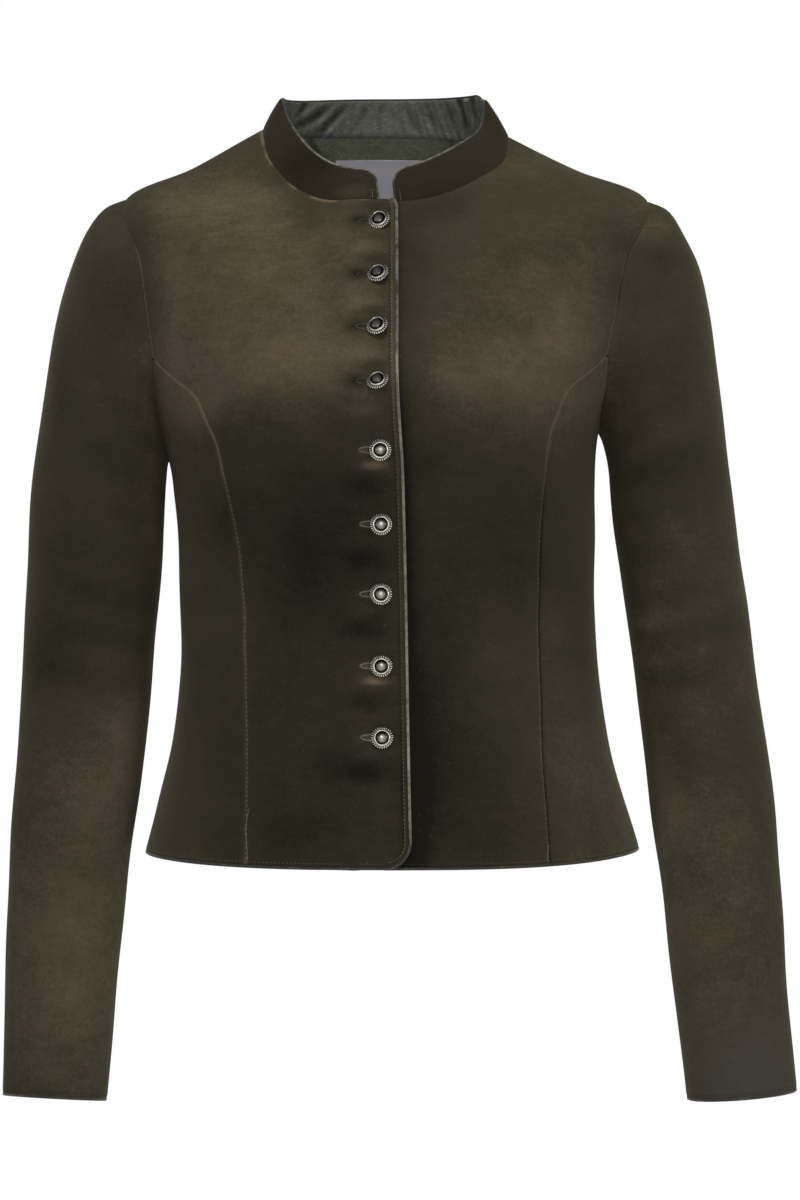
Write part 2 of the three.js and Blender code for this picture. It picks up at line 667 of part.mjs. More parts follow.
// The collar's outer face as a grid of places: straight from neck seam to upper edge, with the upper corner
// of each end rounded. Rows go up from the neck seam.
function collarGrid() {
  const turns = collarTurns();
  const foot = turns.map(neckPoint);
  const head = turns.map((turn) => collarTopPoint(turn));
  const alongFoot = (a, b) => foot[a].distanceTo(foot[b]);
  const last = turns.length - 1;
  let reached = 0;
  const fromStart = turns.map((_, i) => (i ? (reached += alongFoot(i - 1, i)) : 0));
  const heights = turns.map((_, i) => {
    const full = foot[i].distanceTo(head[i]);
    const near = Math.max(0, COLLAR_CORNER - Math.min(fromStart[i], fromStart[last] - fromStart[i]));
    return full - COLLAR_CORNER + Math.sqrt(COLLAR_CORNER ** 2 - near ** 2);
  });
  const outer = COLLAR_ROWS.map((share) =>
    turns.map((_, i) => {
      const up = head[i].clone().sub(foot[i]).normalize();
      return moved(foot[i], up, SEAM + share * (heights[i] - SEAM));
    }),
  );
  const normals = turns.map((_, i) => {
    const round = foot[Math.min(i + 1, last)].clone().sub(foot[Math.max(i - 1, 0)]);
    return round.cross(head[i].clone().sub(foot[i])).normalize();
  });
  return outer.map((row) => row.map((point, i) => ({ point, normal: normals[i] })));
}

// The collar's edge from the foot of its left end, over the top, to the foot of its right end.
function collarEdge(grid) {
  const rows = COLLAR_ROWS.length;
  const leftEnd = grid.slice(0, rows - 1).map((row) => row[0]);
  const rightEnd = grid.slice(0, rows - 1).map((row) => row.at(-1));
  const depth = (CLOTH + SEAM + LINING) / 2;
  return [...leftEnd, ...grid.at(-1), ...rightEnd.reverse()].map((place) => belowSurface(place, depth));
}

// ---------------------------------------------------------------- the edge of the fronts and hem

// From the neck down the right front, along the hem and up the left front's hidden edge.
function bodiceEdge() {
  const rightFront = grids.front_right.map((row) => row.at(-1));
  const leftFront = grids.front_left.map((row) => row[0]);
  const hem = HEM_ORDER.flatMap((name) => grids[name][0].slice(0, -1).reverse());
  return [...rightFront.reverse(), ...hem.slice(0, -1), ...leftFront].map(midWall);
}

// ---------------------------------------------------------------- inside the back of the neck

function backLiningGrid() {
  const rows = grids.back_centre.slice(LINING_ROWS.from, LINING_ROWS.to + 1);
  return rows.map((row) => row.slice(LINING_COLUMNS.from, LINING_COLUMNS.to + 1));
}

// The label's places on the lining: a rectangle seen from the front, bent with the back.
function labelGrid(lining) {
  const middle = (lining[0].length - 1) / 2;
  const heights = lining.map((row) => -row[middle].point.z);
  const bottom = indexAt(heights, LABEL_HEIGHT - LABEL_TOP);
  const top = indexAt(heights, -LABEL_TOP);
  const between = lining.map((_, i) => i).filter((i) => i > bottom && i < top);
  return [bottom, ...between, top].map((at) => {
    const row = rowBetween(lining, at);
    const centre = row[middle].point.x;
    return [0.5, 0.25, 0, -0.25, -0.5].map((share) => {
      const column = indexAt(row.map(({ point }) => point.x - centre), share * LABEL_WIDTH);
      const left = Math.floor(column);
      return placeBetween(row[left], row[left + 1], column - left);
    });
  });
}

// ---------------------------------------------------------------- materials

const material = (color, roughness, metalness = 0) =>
  new THREE.MeshStandardMaterial({ color, roughness, metalness });
const velvet = material(0x3d372b, 0.95);
const satin = material(0x3c3f34, 0.5);
const pipingSatin = material(0x77756a, 0.5);
const labelSatin = material(0x8f8c92, 0.6);
const antiqueSilver = material(0x8c8a82, 0.35, 1);

// ---------------------------------------------------------------- the assembled blazer

const blazer = new THREE.Group();

function add(name, geometry, finish, matrix) {
  const mesh = new THREE.Mesh(geometry, finish);
  mesh.name = name;
  if (matrix) mesh.applyMatrix4(matrix);
  blazer.add(mesh);
  return mesh;
}

// The right front carries the buttonholes and lies over the left one.
const grids = Object.fromEntries(Object.entries(PANELS).map(([name, panel]) => [name, panelGrid(panel)]));
const buttonPlaces = BUTTONS.map(({ z }) => buttonPlace(grids.front_right, z));
for (const [name, grid] of Object.entries(grids)) {
  const cloth = layerOf(grid, 0, CLOTH);
  add(name, name === "front_right" ? withButtonholes(cloth, buttonPlaces) : cloth, velvet);
}

for (const [name, rings, way] of [["left", SLEEVE_LEFT, 1], ["right", SLEEVE_RIGHT, -1]]) {
  const grid = sleeveGrid(rings, way);
  add("sleeve_" + name, layerOf(grid, 0, CLOTH, true), velvet);
  add("piping_cuff_" + name, pipingBeside(cuffEdge(grid)), pipingSatin);
}

const collar = collarGrid();
add("collar", layerOf(collar, 0, CLOTH), velvet);
add("collar_lining", layerOf(collar, CLOTH + SEAM, CLOTH + SEAM + LINING), satin);
add("piping_collar", pipingBeside(collarEdge(collar)), pipingSatin);
add("piping_front_hem", pipingBeside(bodiceEdge()), pipingSatin);

const backLining = backLiningGrid();
add("back_neck_lining", layerOf(backLining, CLOTH + SEAM, CLOTH + SEAM + LINING), satin);
add("neck_label", layerOf(labelGrid(backLining), LABEL_DEPTH, LABEL_DEPTH + LABEL_THICKNESS), labelSatin);

buttonPlaces.forEach((place, i) => add("button_" + (i + 1), buttonGeometry(), antiqueSilver, place));

export default blazer;
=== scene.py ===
import bpy
import numpy as np
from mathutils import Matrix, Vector


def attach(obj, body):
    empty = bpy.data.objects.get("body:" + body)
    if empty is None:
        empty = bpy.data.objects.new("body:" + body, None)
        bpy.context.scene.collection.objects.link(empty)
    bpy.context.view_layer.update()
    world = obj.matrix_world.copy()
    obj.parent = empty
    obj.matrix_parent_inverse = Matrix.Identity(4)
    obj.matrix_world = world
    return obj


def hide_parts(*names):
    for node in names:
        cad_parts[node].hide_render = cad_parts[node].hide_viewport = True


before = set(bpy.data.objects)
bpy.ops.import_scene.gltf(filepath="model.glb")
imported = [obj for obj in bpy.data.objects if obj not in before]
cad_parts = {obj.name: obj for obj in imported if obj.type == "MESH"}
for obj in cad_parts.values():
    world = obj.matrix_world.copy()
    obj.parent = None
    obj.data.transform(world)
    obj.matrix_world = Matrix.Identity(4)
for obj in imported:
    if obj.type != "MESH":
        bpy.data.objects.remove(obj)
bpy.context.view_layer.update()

# A woman's short folk-dress jacket in cotton velvet, filled out as when worn. All shapes are worked out in
# millimetres, +Z up, -Y the front, +X the wearer's left, with the origin in the middle of the neck opening,
# and put into the meshes in metres. Right and left are the wearer's. Rows of every grid go up and columns
# go round towards the wearer's left, so that the cross product of a column step and a row step points out
# of the cloth.

MM = 0.001

# ---------------------------------------------------------------- nodes and colours


def linear(code):
    """An sRGB hex colour as linear red, green, blue and alpha."""
    part = np.array([int(code[i : i + 2], 16) for i in (1, 3, 5)]) / 255
    return (*np.where(part <= 0.04045, part / 12.92, ((part + 0.055) / 1.055) ** 2.4), 1.0)


def feed(tree, node, inputs):
    """Gives a node its inputs, by name or number or as a list in their own order. Each is a value, an output
    that feeds it, or a node whose first output does."""
    for key, value in inputs.items() if isinstance(inputs, dict) else enumerate(inputs):
        if isinstance(value, bpy.types.Node):
            value = value.outputs[0]
        if isinstance(value, bpy.types.NodeSocket):
            tree.links.new(value, node.inputs[key])
        else:
            node.inputs[key].default_value = value


def add(tree, kind, inputs=(), **settings):
    """Adds a node with its settings and its inputs."""
    made = tree.nodes.new("ShaderNode" + kind)
    for key, value in settings.items():
        setattr(made, key, value)
    feed(tree, made, inputs)
    return made


# ---------------------------------------------------------------- camera, light and floor


def aimed(thing, place, target):
    """Puts a camera or lamp at a place, looking at a target, both in metres."""
    thing.location = place
    thing.rotation_euler = (Vector(target) - Vector(place)).to_track_quat("-Z", "Y").to_euler()
    bpy.context.collection.objects.link(thing)
    return thing


CAMERA_DISTANCE = 2.8
FRAME_HEIGHT = 0.888  # what the upright frame covers at the jacket's middle plane
SENSOR = 36.0
lens = bpy.data.cameras.new("camera")
lens.sensor_width = SENSOR
lens.lens = SENSOR * CAMERA_DISTANCE / FRAME_HEIGHT
lens.clip_end = 50
EYE = (0.0074, -CAMERA_DISTANCE, -0.342)
camera = aimed(bpy.data.objects.new("camera", lens), EYE, (EYE[0], 0, EYE[2]))
bpy.context.scene.camera = camera
bpy.context.scene.view_settings.view_transform = "Standard"

CHEST, BACK = (0, -0.1, -0.25), (0, 0.1, -0.3)
# Square lamps: name, place, target, size in metres, power in watts, and whether shiny things mirror it.
LAMPS = [
    ("overhead key", (0, -1, 2.5), CHEST, 1.2, 120, False),
    ("front fill", (0, -3.2, 0.2), CHEST, 1.2, 26, True),
    ("side light by the left sleeve", (2.5, -1.2, 0), CHEST, 1.2, 20, True),
    ("side light by the right sleeve", (-2.5, -1.2, 0), CHEST, 1.2, 9, True),
    ("fill behind the left shoulder", (1.6, 3, 0.5), BACK, 1.4, 52, False),
    ("fill behind the right shoulder", (-1.6, 3, 0.2), BACK, 1.4, 38, False),
    ("catch light by the left sleeve", (1.5, -2.5, -0.1), CHEST, 0.2, 1.5, True),
    ("catch light by the right sleeve", (-1.5, -2.5, -0.2), CHEST, 0.2, 1.5, True),
]
for name, place, target, size, power, mirrored in LAMPS:
    lamp = bpy.data.lights.new(name, "AREA")
    lamp.shape, lamp.size, lamp.energy = "SQUARE", size, power
    aimed(bpy.data.objects.new(name, lamp), place, target).visible_glossy = mirrored

WHITE = (1, 1, 1, 1)
world = bpy.data.worlds.new("white studio")
world.use_nodes = True
room = world.node_tree
room.nodes.clear()
seen = add(room, "Background", {"Color": WHITE, "Strength": 1.0})
height = add(room, "SeparateXYZ", [add(room, "TexCoord").outputs["Generated"]]).outputs["Z"]
brightness = add(room, "MapRange", [height, 0.1, 0.7, 0.24, 0.08])  # dark towards the ceiling
dim = add(room, "Background", {"Color": WHITE, "Strength": brightness})
ray = add(room, "LightPath").outputs["Is Camera Ray"]
add(room, "OutputWorld", {"Surface": add(room, "MixShader", [ray, dim, seen])})
bpy.context.scene.world = world

# ---------------------------------------------------------------- the pattern, as tables in millimetres


def table(columns, rows):
    """Columns by name, each an array with one value for each row."""
    return dict(zip(columns.split(), np.array(rows, float).T))


# Rings of the bodice from hem to neck. z at centre front, side and centre back, and how much higher than
# that the right side is and the left lower; half width; depth in front of and behind the sides; squareness
# of the plan; how late the front climbs to the side, right and left, and how much of that comes steeply at
# the very side; sideways lean; then how far out the armhole and the princess seams cross the ring. From
# underarm to shoulder point the half width is that of the ring before the armhole is cut.
BODICE_COLUMNS = """zFront zSide zBack tilt half front back square climbR climbL steepR steepL lean
armhole princessR princessL princessBack"""
BODICE = table(BODICE_COLUMNS, [
    [-532.2, -525.3, -529, -1.2, 182.5, 112, 110, 0.03, 3.5, 3.5, 0, 0, 1.3, 182.5, 104.6, 113.3, 82],  # hem
    [-490, -489, -490, -1.5, 172, 108, 101, 0.03, 2.5, 2.5, 0, 0, 0.8, 172, 103.7, 111.2, 75],  # flare
    [-445, -445, -445, -1, 161, 103, 90, 0.03, 2.5, 2.5, 0, 0, 0.4, 161, 103.6, 109, 70],  # hip
    [-395, -395, -395, -1, 154.8, 98, 79, 0.035, 2.5, 2.5, 0, 0, -0.4, 154.8, 103.8, 108.1, 66],  # waist
    [-345, -345, -345, -1, 153.4, 98, 77, 0.035, 2.5, 2.5, 0, 0, -2, 153.4, 103.7, 109.3, 66],  # midriff
    [-300, -301, -300, -1.5, 153.9, 104, 84, 0.035, 2.5, 2.5, 0, 0, -2.6, 153.9, 106.8, 111.1, 73],  # ribs
    [-260, -264, -260, -4, 155.3, 115, 93, 0.035, 2.5, 2.5, 0, 0, -3.8, 155.3, 112.9, 115, 82],  # underbust
    [-225, -229, -226, -10, 158.5, 127, 100, 0.035, 2.5, 2.5, 0, 0, -4.6, 158.5, 119.7, 121.3, 94],  # armpit
    [-194, -195, -194, -5, 170.5, 134, 104, 0.03, 2.5, 2.5, 0, 0, -6.3, 163.3, 134.2, 135.1, 112],  # bust
    [-164, -164, -160, -1.5, 182, 129, 105, 0.025, 2.5, 2.5, 0, 0, -6.7, 165, 165, 165, 137],  # princess top
    [-133, -126, -126, 0, 192, 117, 103, 0.02, 2.6, 2.6, 0, 0, -6.2, 171.5, 171.5, 171.5, 171.5],  # chest
    [-105, -87, -85, 0, 197, 102, 97, 0.015, 3, 3, 0, 0, -5.2, 178, 178, 178, 178],  # upper chest
    [-84, -45.8, -44, 0.5, 192, 90, 88, 0.01, 3.8, 3.2, 0, 0, -3, 192, 192, 192, 192],  # shoulder point
    [-70, -23.3, -16, 1, 142, 80, 76, 0.005, 4.8, 3.2, 0, 0, -3, 142, 142, 142, 142],  # mid shoulder
    [-54.5, 3.7, 10, 2.8, 91, 70, 62, 0, 4, 2.2, 15, 18, -3, 91, 91, 91, 91],  # neck
])
UNDERARM, PRINCESS_FRONT_TOP, PRINCESS_BACK_TOP, SHOULDER_POINT, NECK = 7, 9, 10, 12, 14
FULLNESS = {"out": 76, "z": -196, "width": 46, "height": 46, "depth": 6}

# Right front edge at the piping from hem to neck, and the buttons' centres, which lie left of it.
FRONT_EDGE = table("z x buttonX", [
    [-532.2, 14.2, -5.4], [-440, 12.2, -5.4], [-345, 10.6, -6.1], [-250, 8.3, -6.1], [-188, 4.7, -8.1],
    [-131, 4.4, -8.3], [-55.5, 4, -7],
])
# Each button's height, how strongly it pulls at the cloth, and how many degrees it tips up and to the right.
BUTTONS = table("z pull up right", [
    [-69.5, 0.5, 24, 14], [-110, 0.9, 31, 16], [-148.5, 1.0, 29, 16], [-187.7, 0.7, 33, 14],
    [-235.7, 1.2, -2, 3], [-288, 0.5, 0, 2], [-337.7, 0.8, 0, 2], [-389, 1.2, -3, 3], [-440, 0.9, 0, -2],
])
CLOTH, LINING, GAP = 1.6, 1.0, 0.3
SHOWN_GAP = 0.1  # what is left between pieces at a pressed seam
OVERLAP_LIFT, LIFT_FROM, LIFT_TO = 3.0, -48, -22
UNDERLAP = -21  # x of the left front's hidden edge
CORNER_RADIUS, TOP_CORNER_RADIUS = 18, 5
CORNER_STOP, TOP_CORNER_SHARE = 0.97, 0.8  # how much of its radius each corner is drawn in at most
PIPING_RADIUS = 1.2

# Rings of each sleeve from armhole to cuff as the front sees them: outer and inner edge, half depth, how
# far the ring's middle lies behind the bodice's sides, how much higher than its middle its front is.
SLEEVE_COLUMNS = "outerX outerZ innerX innerZ depth behind frontUp"
SLEEVES = {
    "left": table(SLEEVE_COLUMNS, [
        [189, -46, 154.2, -219, 46, -1, 0], [204.5, -53.8, 155.2, -221, 50, -2, 0],
        [215.8, -70.5, 156.8, -225, 52, -3, 0], [228, -95, 158.4, -231, 53, -3, 0],
        [234.8, -126, 160, -239, 53, -2, 0], [240.7, -163, 161.6, -250, 52, -1, 0],
        [246.3, -205, 163.1, -265, 51, 0, 0], [251.4, -248, 165.8, -287, 50, 1, 0],
        [257.8, -296, 170.3, -318, 49, 3, 0], [265.3, -350, 176.8, -364, 47, 4, 0],
        [273.2, -410, 183.9, -421, 44, 1, 0], [281.2, -473, 190.4, -484, 40.5, -5, 0],
        [287.3, -541, 199.8, -552, 37, -12, 0], [291.2, -616, 208.3, -625, 33.5, -20, 0],
        [298.5, -699.2, 217.2, -706, 30, -28, 0],
    ]),
    "right": table(SLEEVE_COLUMNS, [
        [195, -44.5, 163.1, -239, 46, -1, 0], [210.8, -52.7, 163.6, -241, 50, -6, 0],
        [222.8, -69.2, 163.9, -243.5, 52, -10, 0], [232.3, -91, 164.3, -247, 53, -12, 0],
        [242, -121, 164.9, -252, 53, -10, 0], [250.5, -157, 165.6, -259, 52, -7, 0],
        [257.1, -202, 166.2, -270, 51, -3, 0], [263.4, -247, 166.9, -289, 50, 0, 0],
        [267.6, -298, 168.5, -315, 49, 3, 0], [270.5, -352, 172.7, -361, 47, 4, 0],
        [273.2, -412, 177.7, -418, 44, 1, 1], [276.7, -474, 185, -480, 40, -5, 2],
        [280.5, -542, 192.7, -547, 36, -12, 3], [282.3, -618, 200, -622, 32, -20, 3],
        [284.5, -702.8, 207.5, -707, 28, -28, 3],
    ]),
}
# How much of the armhole's own shape each ring of a sleeve keeps.
CAP_BLEND = {"keep": np.array([1, 0.62, 0.34, 0.15, 0.04] + [0] * 10)}

# The collar's upper ring, as the bodice's rings are given, then its corners' radius and the x of its ends.
COLLAR_TOP = {
    "half": 75.9, "front": 61, "back": 57, "zFront": -30.6, "zSide": 31.7, "zBack": 35, "tilt": -2.3,
    "climbR": 3.2, "climbL": 1.85, "steepR": 10, "steepL": 28, "lean": -4.6,
}
COLLAR_CORNER, COLLAR_RIGHT_END, COLLAR_LEFT_END = 13, -9.2, 5
COLLAR_BOW = 0.6  # how far the collar is rounded out half way up

# ---------------------------------------------------------------- reading tables and lines


def read(rows, column, at):
    """A column as a smooth curve at fractional row numbers: the Catmull-Rom cubic, whose slope at a row is
    half the difference between the rows on both sides of it."""
    values = rows[column]
    ends = [2 * values[0] - values[1]], [2 * values[-1] - values[-2]]
    values = np.concatenate([ends[0], values, ends[1]])
    i = np.clip(np.floor(at).astype(int), 0, len(values) - 4)
    a, b, c, d = (values[i + k] for k in range(4))
    f = at - i
    return b + 0.5 * f * (c - a + f * (2 * a - 5 * b + 4 * c - d + f * (3 * (b - c) + d - a)))


def read_at_height(rows, column, z):
    """A column of a table whose z climbs, read at a height."""
    return read(rows, column, np.interp(z, rows["z"], np.arange(len(rows["z"]))))


HALVINGS = 40


def meet(low, high, rising):
    """Where a rising function reaches zero between low and high, by halving the gap again and again."""
    for _ in range(HALVINGS):
        middle = (low + high) / 2
        above = rising(middle) > 0
        low, high = np.where(above, low, middle), np.where(above, middle, high)
    return (low + high) / 2


def smooth(x, low, high):
    """0 below low, 1 above high, and 3t² - 2t³ between."""
    t = np.clip((x - low) / (high - low), 0, 1)
    return t * t * (3 - 2 * t)


def bump(x, z, centre_x, centre_z, width, height):
    """A round hill of height 1: e to the minus squared distance, measured in widths and heights."""
    return np.exp(-(((x - centre_x) / width) ** 2) - ((z - centre_z) / height) ** 2)


def ridge(x, centre, width):
    """A ridge of height 1: e to the minus squared distance, measured in widths."""
    return np.exp(-(((x - centre) / width) ** 2))


def unit(vectors):
    """The same directions, with length 1."""
    return vectors / np.linalg.norm(vectors, axis=-1, keepdims=True)


def at_distances(line, walked, at):
    """The points of a line at some distances, given how far has been walked at each of its own points."""
    return np.stack([np.interp(at, walked, line[:, k]) for k in range(3)], -1)


# ---------------------------------------------------------------- the bodice's surface

STEEPNESS = 40  # the power of the steep part


def ring_height(value, across, along):
    """z round a ring: flat in front and climbing to the side as a power of |across|, with a steep part as
    its power of 40, or from the back as across²."""
    side = value("zSide") - value("tilt") * np.sign(across)
    climb = np.where(across < 0, value("climbR"), value("climbL"))
    steep = np.where(across < 0, value("steepR"), value("steepL"))
    front = value("zFront") + (side - steep - value("zFront")) * np.abs(across) ** climb
    front = front + steep * np.abs(across) ** STEEPNESS
    back = value("zBack") + (side - value("zBack")) * across**2
    return np.where(along < 0, back, front)


def bodice(turn, level):
    """The velvet's outer face. x = lean + half sin(turn) c and y = -front or back |cos(turn)| c, less the
    bust's fullness, with c = 1 + square sin²(2 turn), which pushes the corners of the plan out."""
    turn, level = np.broadcast_arrays(np.asarray(turn, float), np.asarray(level, float))

    def value(column):
        """A column of the rings' table at each level."""
        return read(BODICE, column, level)

    across, along = np.sin(np.radians(turn)), np.cos(np.radians(turn))
    corner = 1 + value("square") * (2 * across * along) ** 2
    z = ring_height(value, across, along)
    out = value("half") * across * corner
    depth = np.where(along >= 0, -value("front"), value("back"))
    full = bump(np.abs(out), z, FULLNESS["out"], FULLNESS["z"], FULLNESS["width"], FULLNESS["height"])
    full = np.where(along >= 0, FULLNESS["depth"] * full, 0)
    return np.stack([value("lean") + out, (depth * corner - full) * np.abs(along), z], -1)


TURN_STEP, LEVEL_STEP = 0.2, 0.02  # to both sides, where the surface's directions are measured


def along_ring(turn, level):
    """The way round a ring, as the step between two near turns."""
    return bodice(turn + TURN_STEP, level) - bodice(turn - TURN_STEP, level)


def turn_plus(turn, level, millimetres):
    """The turn that many millimetres further round."""
    return turn + millimetres * 2 * TURN_STEP / np.linalg.norm(along_ring(turn, level), axis=-1)


SIDE, LEFT, RIGHT = 90, 1, -1


def seam_turn(column, level, side, low, high):
    """The turn where each ring is a column's distance out from the middle, between two turns."""
    out = read(BODICE, column, level)
    lean = read(BODICE, "lean", level)
    rising = 1 if low < SIDE else -1

    def past(turn):
        """How far out each ring is at a turn, past the column's distance, with its sign turned behind."""
        return rising * (side * (bodice(side * turn, level)[..., 0] - lean) - out)

    return side * meet(np.full(level.shape, float(low)), np.full(level.shape, float(high)), past)


def armhole_front(level, side, low=20, high=SIDE):
    """The armhole's front seam, which is the plain side where no armhole is cut."""
    cut = (level > UNDERARM) & (level < SHOULDER_POINT)
    return np.where(cut, seam_turn("armhole", level, side, low, high), side * SIDE)


def armhole_back(level, side):
    """The armhole's back seam."""
    return armhole_front(level, side, SIDE, 160)


def princess_front(level, side):
    """The front princess seam, which runs into the armhole."""
    below = seam_turn("princessL" if side > 0 else "princessR", level, side, 10, SIDE)
    return np.where(level >= PRINCESS_FRONT_TOP, armhole_front(level, side), below)


def princess_back(level, side):
    """The back princess seam, which runs into the armhole."""
    below = seam_turn("princessBack", level, side, SIDE, 175)
    return np.where(level >= PRINCESS_BACK_TOP, armhole_back(level, side), below)


EDGE_WITHIN = 60.0  # the front edges lie this many degrees or less from the middle


def turn_at(x, level):
    """The turn where the front of each ring is at x."""
    far = np.full(level.shape, EDGE_WITHIN)
    return meet(-far, far, lambda turn: bodice(turn, level)[..., 0] - x)


def drawn_in(radius, distance):
    """How far a corner's quarter circle draws the edge in, at a distance from the corner."""
    left = np.clip(radius - distance, 0, radius)
    return radius - np.sqrt(radius**2 - left**2)


def edge_turn(x, inwards, level):
    """The turn of a front edge at x, drawn in along a quarter circle at its lower corner."""
    in_by = drawn_in(CORNER_RADIUS, read(BODICE, "zFront", level) - BODICE["zFront"][0])
    return turn_at(x + inwards * np.minimum(in_by, CORNER_RADIUS * CORNER_STOP), level)


def right_edge(level):
    """The right front's edge, with a small quarter circle taken off its top corner."""
    height = read(BODICE, "zFront", level)
    in_by = drawn_in(TOP_CORNER_RADIUS, BODICE["zFront"][-1] - height)
    return edge_turn(read_at_height(FRONT_EDGE, "x", height) - in_by * TOP_CORNER_SHARE, -1, level)


def left_edge(level):
    """The left front's hidden edge."""
    return edge_turn(UNDERLAP, 1, level)


# ---------------------------------------------------------------- grids and their edges


def facing(points, goes_round=False):
    """Unit normals of a grid: the cross product of its steps along the columns and up the rows."""
    if goes_round:
        along = np.roll(points, -1, 1) - np.roll(points, 1, 1)
    else:
        along = np.gradient(points, axis=1)
    normals = np.cross(along, np.gradient(points, axis=0))
    return normals / np.linalg.norm(normals, axis=-1, keepdims=True).clip(1e-9)


def lengths(points, axis):
    """Distance walked along a grid's rows or columns, from its first point."""
    steps = np.linalg.norm(np.diff(points, axis=axis), axis=-1)
    first = np.zeros_like(np.take(steps, [0], axis))
    return np.concatenate([first, np.cumsum(steps, axis)], axis)


def distance_from(points, which):
    """Distance walked over a grid from one of its edges: the first or last column, or the low or top row."""
    walked = lengths(points, 1 if which in ("first", "last") else 0)
    return {"last": walked[:, -1:] - walked, "top": walked[-1:] - walked}.get(which, walked)


TURN_REACH = 3.0


def turned_in(points, normals, depths):
    """Edges that turn in towards the wearer: at t mm from an edge the cloth dips by depth (1 - t / 3)².
    Depths are those of the first column, the last column, the low row and the top row."""
    dip = 0
    for which, depth in zip(("first", "last", "low", "top"), depths):
        if depth:
            dip = dip + depth * np.clip(1 - distance_from(points, which) / TURN_REACH, 0, 1) ** 2
    return points - normals * dip[..., None]


def uneven(points):
    """How far the cloth is from even, in mm: slow waves of 60 to 120 mm, each a sine of the place along its
    own direction."""
    waves = table("x y z phase height", [
        [0.043, 0.02, 0.021, 0.3, 0.32], [-0.025, 0.03, 0.052, 2.1, 0.28], [0.066, -0.03, -0.034, 4.4, 0.2],
        [0.012, 0.05, -0.083, 1.2, 0.16], [-0.09, 0.04, 0.017, 5.0, 0.12],
    ])
    x, y, z, phase, height = waves.values()
    return (np.sin(points @ np.stack([x, y, z]) + phase) * height).sum(-1)


# Soft creases as the front (face 1) or the back (face -1) shows them: from one end to the other, the
# trough's half width and depth. Each has a lower ridge on both sides.
CREASES = table("face x0 z0 x1 z1 width depth", [
    # from the underarms towards the bust
    [1, -160, -214, -118, -186, 9, 1.1], [1, -158, -232, -112, -226, 10, 0.9],
    [1, 154, -205, 116, -178, 9, 1.0], [1, 153, -226, 108, -222, 11, 0.8],
    # from the armholes into the upper chest
    [1, -168, -130, -130, -104, 10, 0.9], [1, 166, -124, 132, -100, 10, 0.8],
    # round the waist
    [1, -148, -352, -70, -368, 14, 1.3], [1, -146, -392, -86, -384, 12, 1.0],
    [1, 148, -346, 66, -364, 14, 1.2], [1, 144, -398, 84, -388, 12, 0.9], [1, -30, -316, -62, -322, 10, 0.7],
    [1, 38, -402, 80, -410, 10, 0.6],
    # the back: under the arms, the hollow of the back and the waist
    [-1, -158, -214, -110, -190, 10, 1.1], [-1, 156, -208, 108, -184, 10, 1.0],
    [-1, -150, -366, -60, -352, 14, 1.4], [-1, 148, -372, 58, -356, 14, 1.3],
    [-1, -128, -398, -34, -388, 13, 1.1], [-1, 132, -402, 40, -392, 13, 1.1],
    [-1, -46, -340, 30, -346, 12, 0.8], [-1, -84, -96, -58, -150, 13, 0.8], [-1, 86, -92, 56, -146, 13, 0.8],
])
SLEEVE_CREASES = table("face x0 z0 x1 z1 width depth", [
    # under the cap
    [1, 166, -236, 214, -206, 9, 1.2], [1, 166, -262, 228, -246, 10, 1.0], [1, 170, -286, 208, -282, 9, 0.7],
    # inside the elbow, uneven
    [1, 176, -352, 238, -334, 10, 1.5], [1, 178, -374, 262, -372, 11, 1.3],
    [1, 184, -402, 236, -412, 10, 1.1], [1, 214, -300, 260, -318, 11, 0.8],
    # along the forearm
    [1, 206, -470, 270, -452, 13, 0.9], [1, 208, -560, 262, -580, 14, 0.7],
    # the back of the sleeve
    [-1, 168, -244, 216, -214, 10, 1.2], [-1, 180, -364, 250, -350, 12, 1.4],
    [-1, 182, -398, 240, -394, 12, 1.0], [-1, 200, -300, 256, -288, 12, 0.8],
    [-1, 204, -500, 268, -486, 14, 0.8],
])


def creased(points, normals, creases, mirrored=False):
    """The depth of all creases at each point: depth e^-(d/width)², with d the distance from the crease's
    line, less 0.4 of that 1.9 widths to both sides, fading out over the last 30 % of the line and where the
    cloth turns away."""
    x, z = points[..., 0] * (-1 if mirrored else 1), points[..., 2]
    total = np.zeros(x.shape)
    for face, x0, z0, x1, z1, width, depth in zip(*creases.values()):
        length = np.hypot(x1 - x0, z1 - z0)
        ux, uz = (x1 - x0) / length, (z1 - z0) / length
        t = ((x - x0) * ux + (z - z0) * uz) / length
        off = ((x - x0) * -uz + (z - z0) * ux + 0.06 * length * np.sin(3 * t + x0)) / width
        across = ridge(off, 0, 1) - 0.4 * (ridge(off, 1.9, 1) + ridge(off, -1.9, 1))
        fade = smooth(t, -0.25, 0.25) * (1 - smooth(t, 0.7, 1.2))
        total += depth * across * fade * smooth(-face * normals[..., 1], 0.0, 0.5)
    return total


def button_pulls(points):
    """How the cloth of the right front is drawn at its buttons, in mm out: a hollow at the end of each
    buttonhole and a short fold under the button."""
    x, z = points[..., 0], points[..., 2]
    total = np.zeros(x.shape)
    for height, pull in zip(BUTTONS["z"], BUTTONS["pull"]):
        centre = read_at_height(FRONT_EDGE, "buttonX", height)
        total -= 0.9 * pull * bump(x, z, centre - 19, height + 3, 9, 7)
        total -= 0.5 * pull * bump(x, z, centre - 4, height + 12, 10, 5)
        total += 0.9 * pull * bump(x, z, centre - 5, height - 11, 11, 3.6)
    return total


# ---------------------------------------------------------------- meshes

SHARP_ANGLE = np.radians(55)


